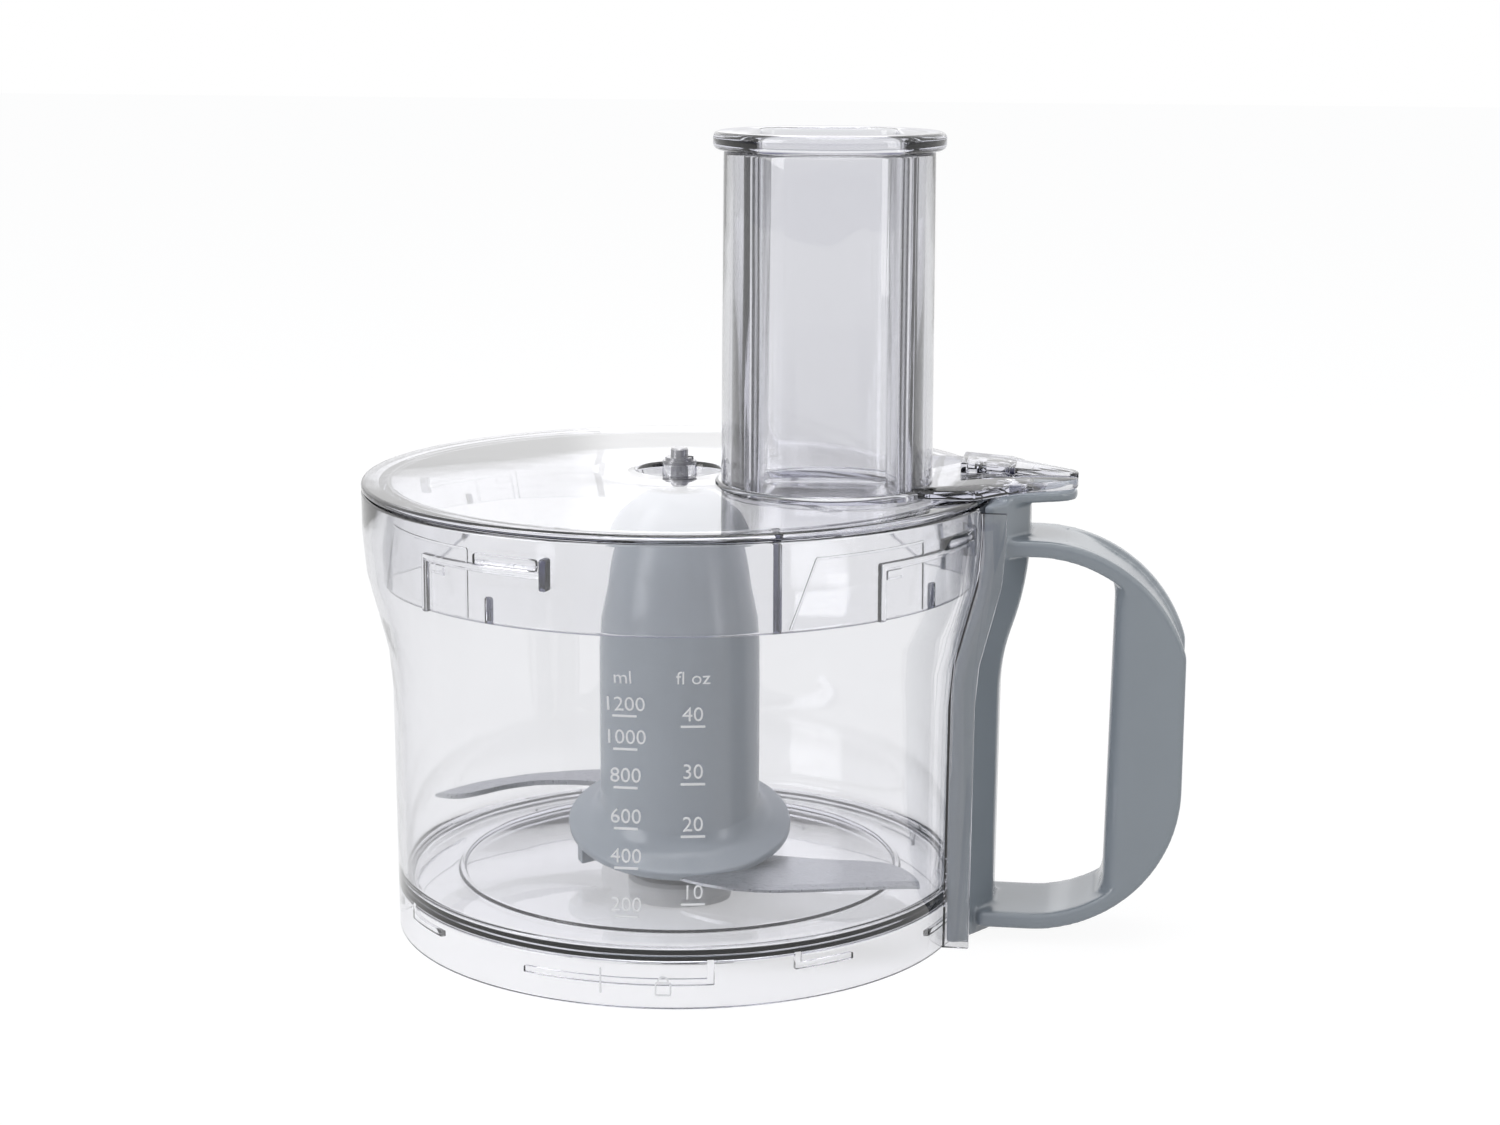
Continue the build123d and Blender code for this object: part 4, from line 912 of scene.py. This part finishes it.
# ------------------------------------------------------------ steel, bronze and small parts
# The blades are ground and polished stainless steel, the pins and clips turned steel,
# the bush sintered bronze, the seal black rubber; the couplings are natural acetal.


def metal(name, colour, roughness, stretch):
    """Brushed or turned metal: fine scratches stretched along one direction."""
    material = bpy.data.materials.new(name)
    tree = empty_tree(material)
    place = tree.node("TexCoord", out="Object")
    stretched = tree.node("Mapping", Vector=place, Scale=stretch)
    scratches = tree.node("TexNoise", i2=600.0, i3=4.0, Vector=stretched)
    cloud = tree.node("TexNoise", i2=30.0, i3=2.0, Vector=place)
    light = (*[min(1, c * 1.06) for c in colour], 1)
    dark = (*[c * 0.92 for c in colour], 1)
    bump = tree.node("Bump", i0=0.15, i1=0.0001, Height=scratches)
    shader = tree.node(
        "BsdfPrincipled", Base_Color=(scratches * 0.6 + cloud * 0.4).blend(dark, light), Metallic=1.0,
        Roughness=scratches * 0.14 + roughness, Normal=bump,
    )
    shader.into("ShaderNodeOutputMaterial")
    return material


blade_steel = metal("ground_blade_steel", (0.47, 0.48, 0.50), 0.22, (1.0, 12.0, 1.0))
turned_steel = metal("turned_steel", (0.36, 0.36, 0.37), 0.22, (1.0, 1.0, 10.0))
bronze = metal("sintered_bronze", (0.52, 0.34, 0.16), 0.4, (1.0, 1.0, 1.0))
acetal = grey_plastic("natural_acetal", (0.75, 0.75, 0.72), 0.35)
rubber = grey_plastic("black_rubber", (0.02, 0.02, 0.022), 0.6)
finishes = {
    "lower_blade": blade_steel, "upper_blade": blade_steel, "lid_pin": turned_steel,
    "pin_washer": turned_steel, "pin_clip": turned_steel, "drive_shaft": turned_steel,
    "thrust_washer": turned_steel, "shaft_circlip": turned_steel, "coupling_pin": turned_steel,
    "hub_socket": turned_steel, "handle_screws": turned_steel, "interlock_spring": turned_steel,
    "bearing_bush": bronze, "shaft_seal": rubber, "drive_coupling": acetal, "pin_bush": acetal,
    "interlock_rod": acetal, "channel_cap": handle_grey,
}
for node, finish in finishes.items():
    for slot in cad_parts[node].material_slots:
        slot.material = finish
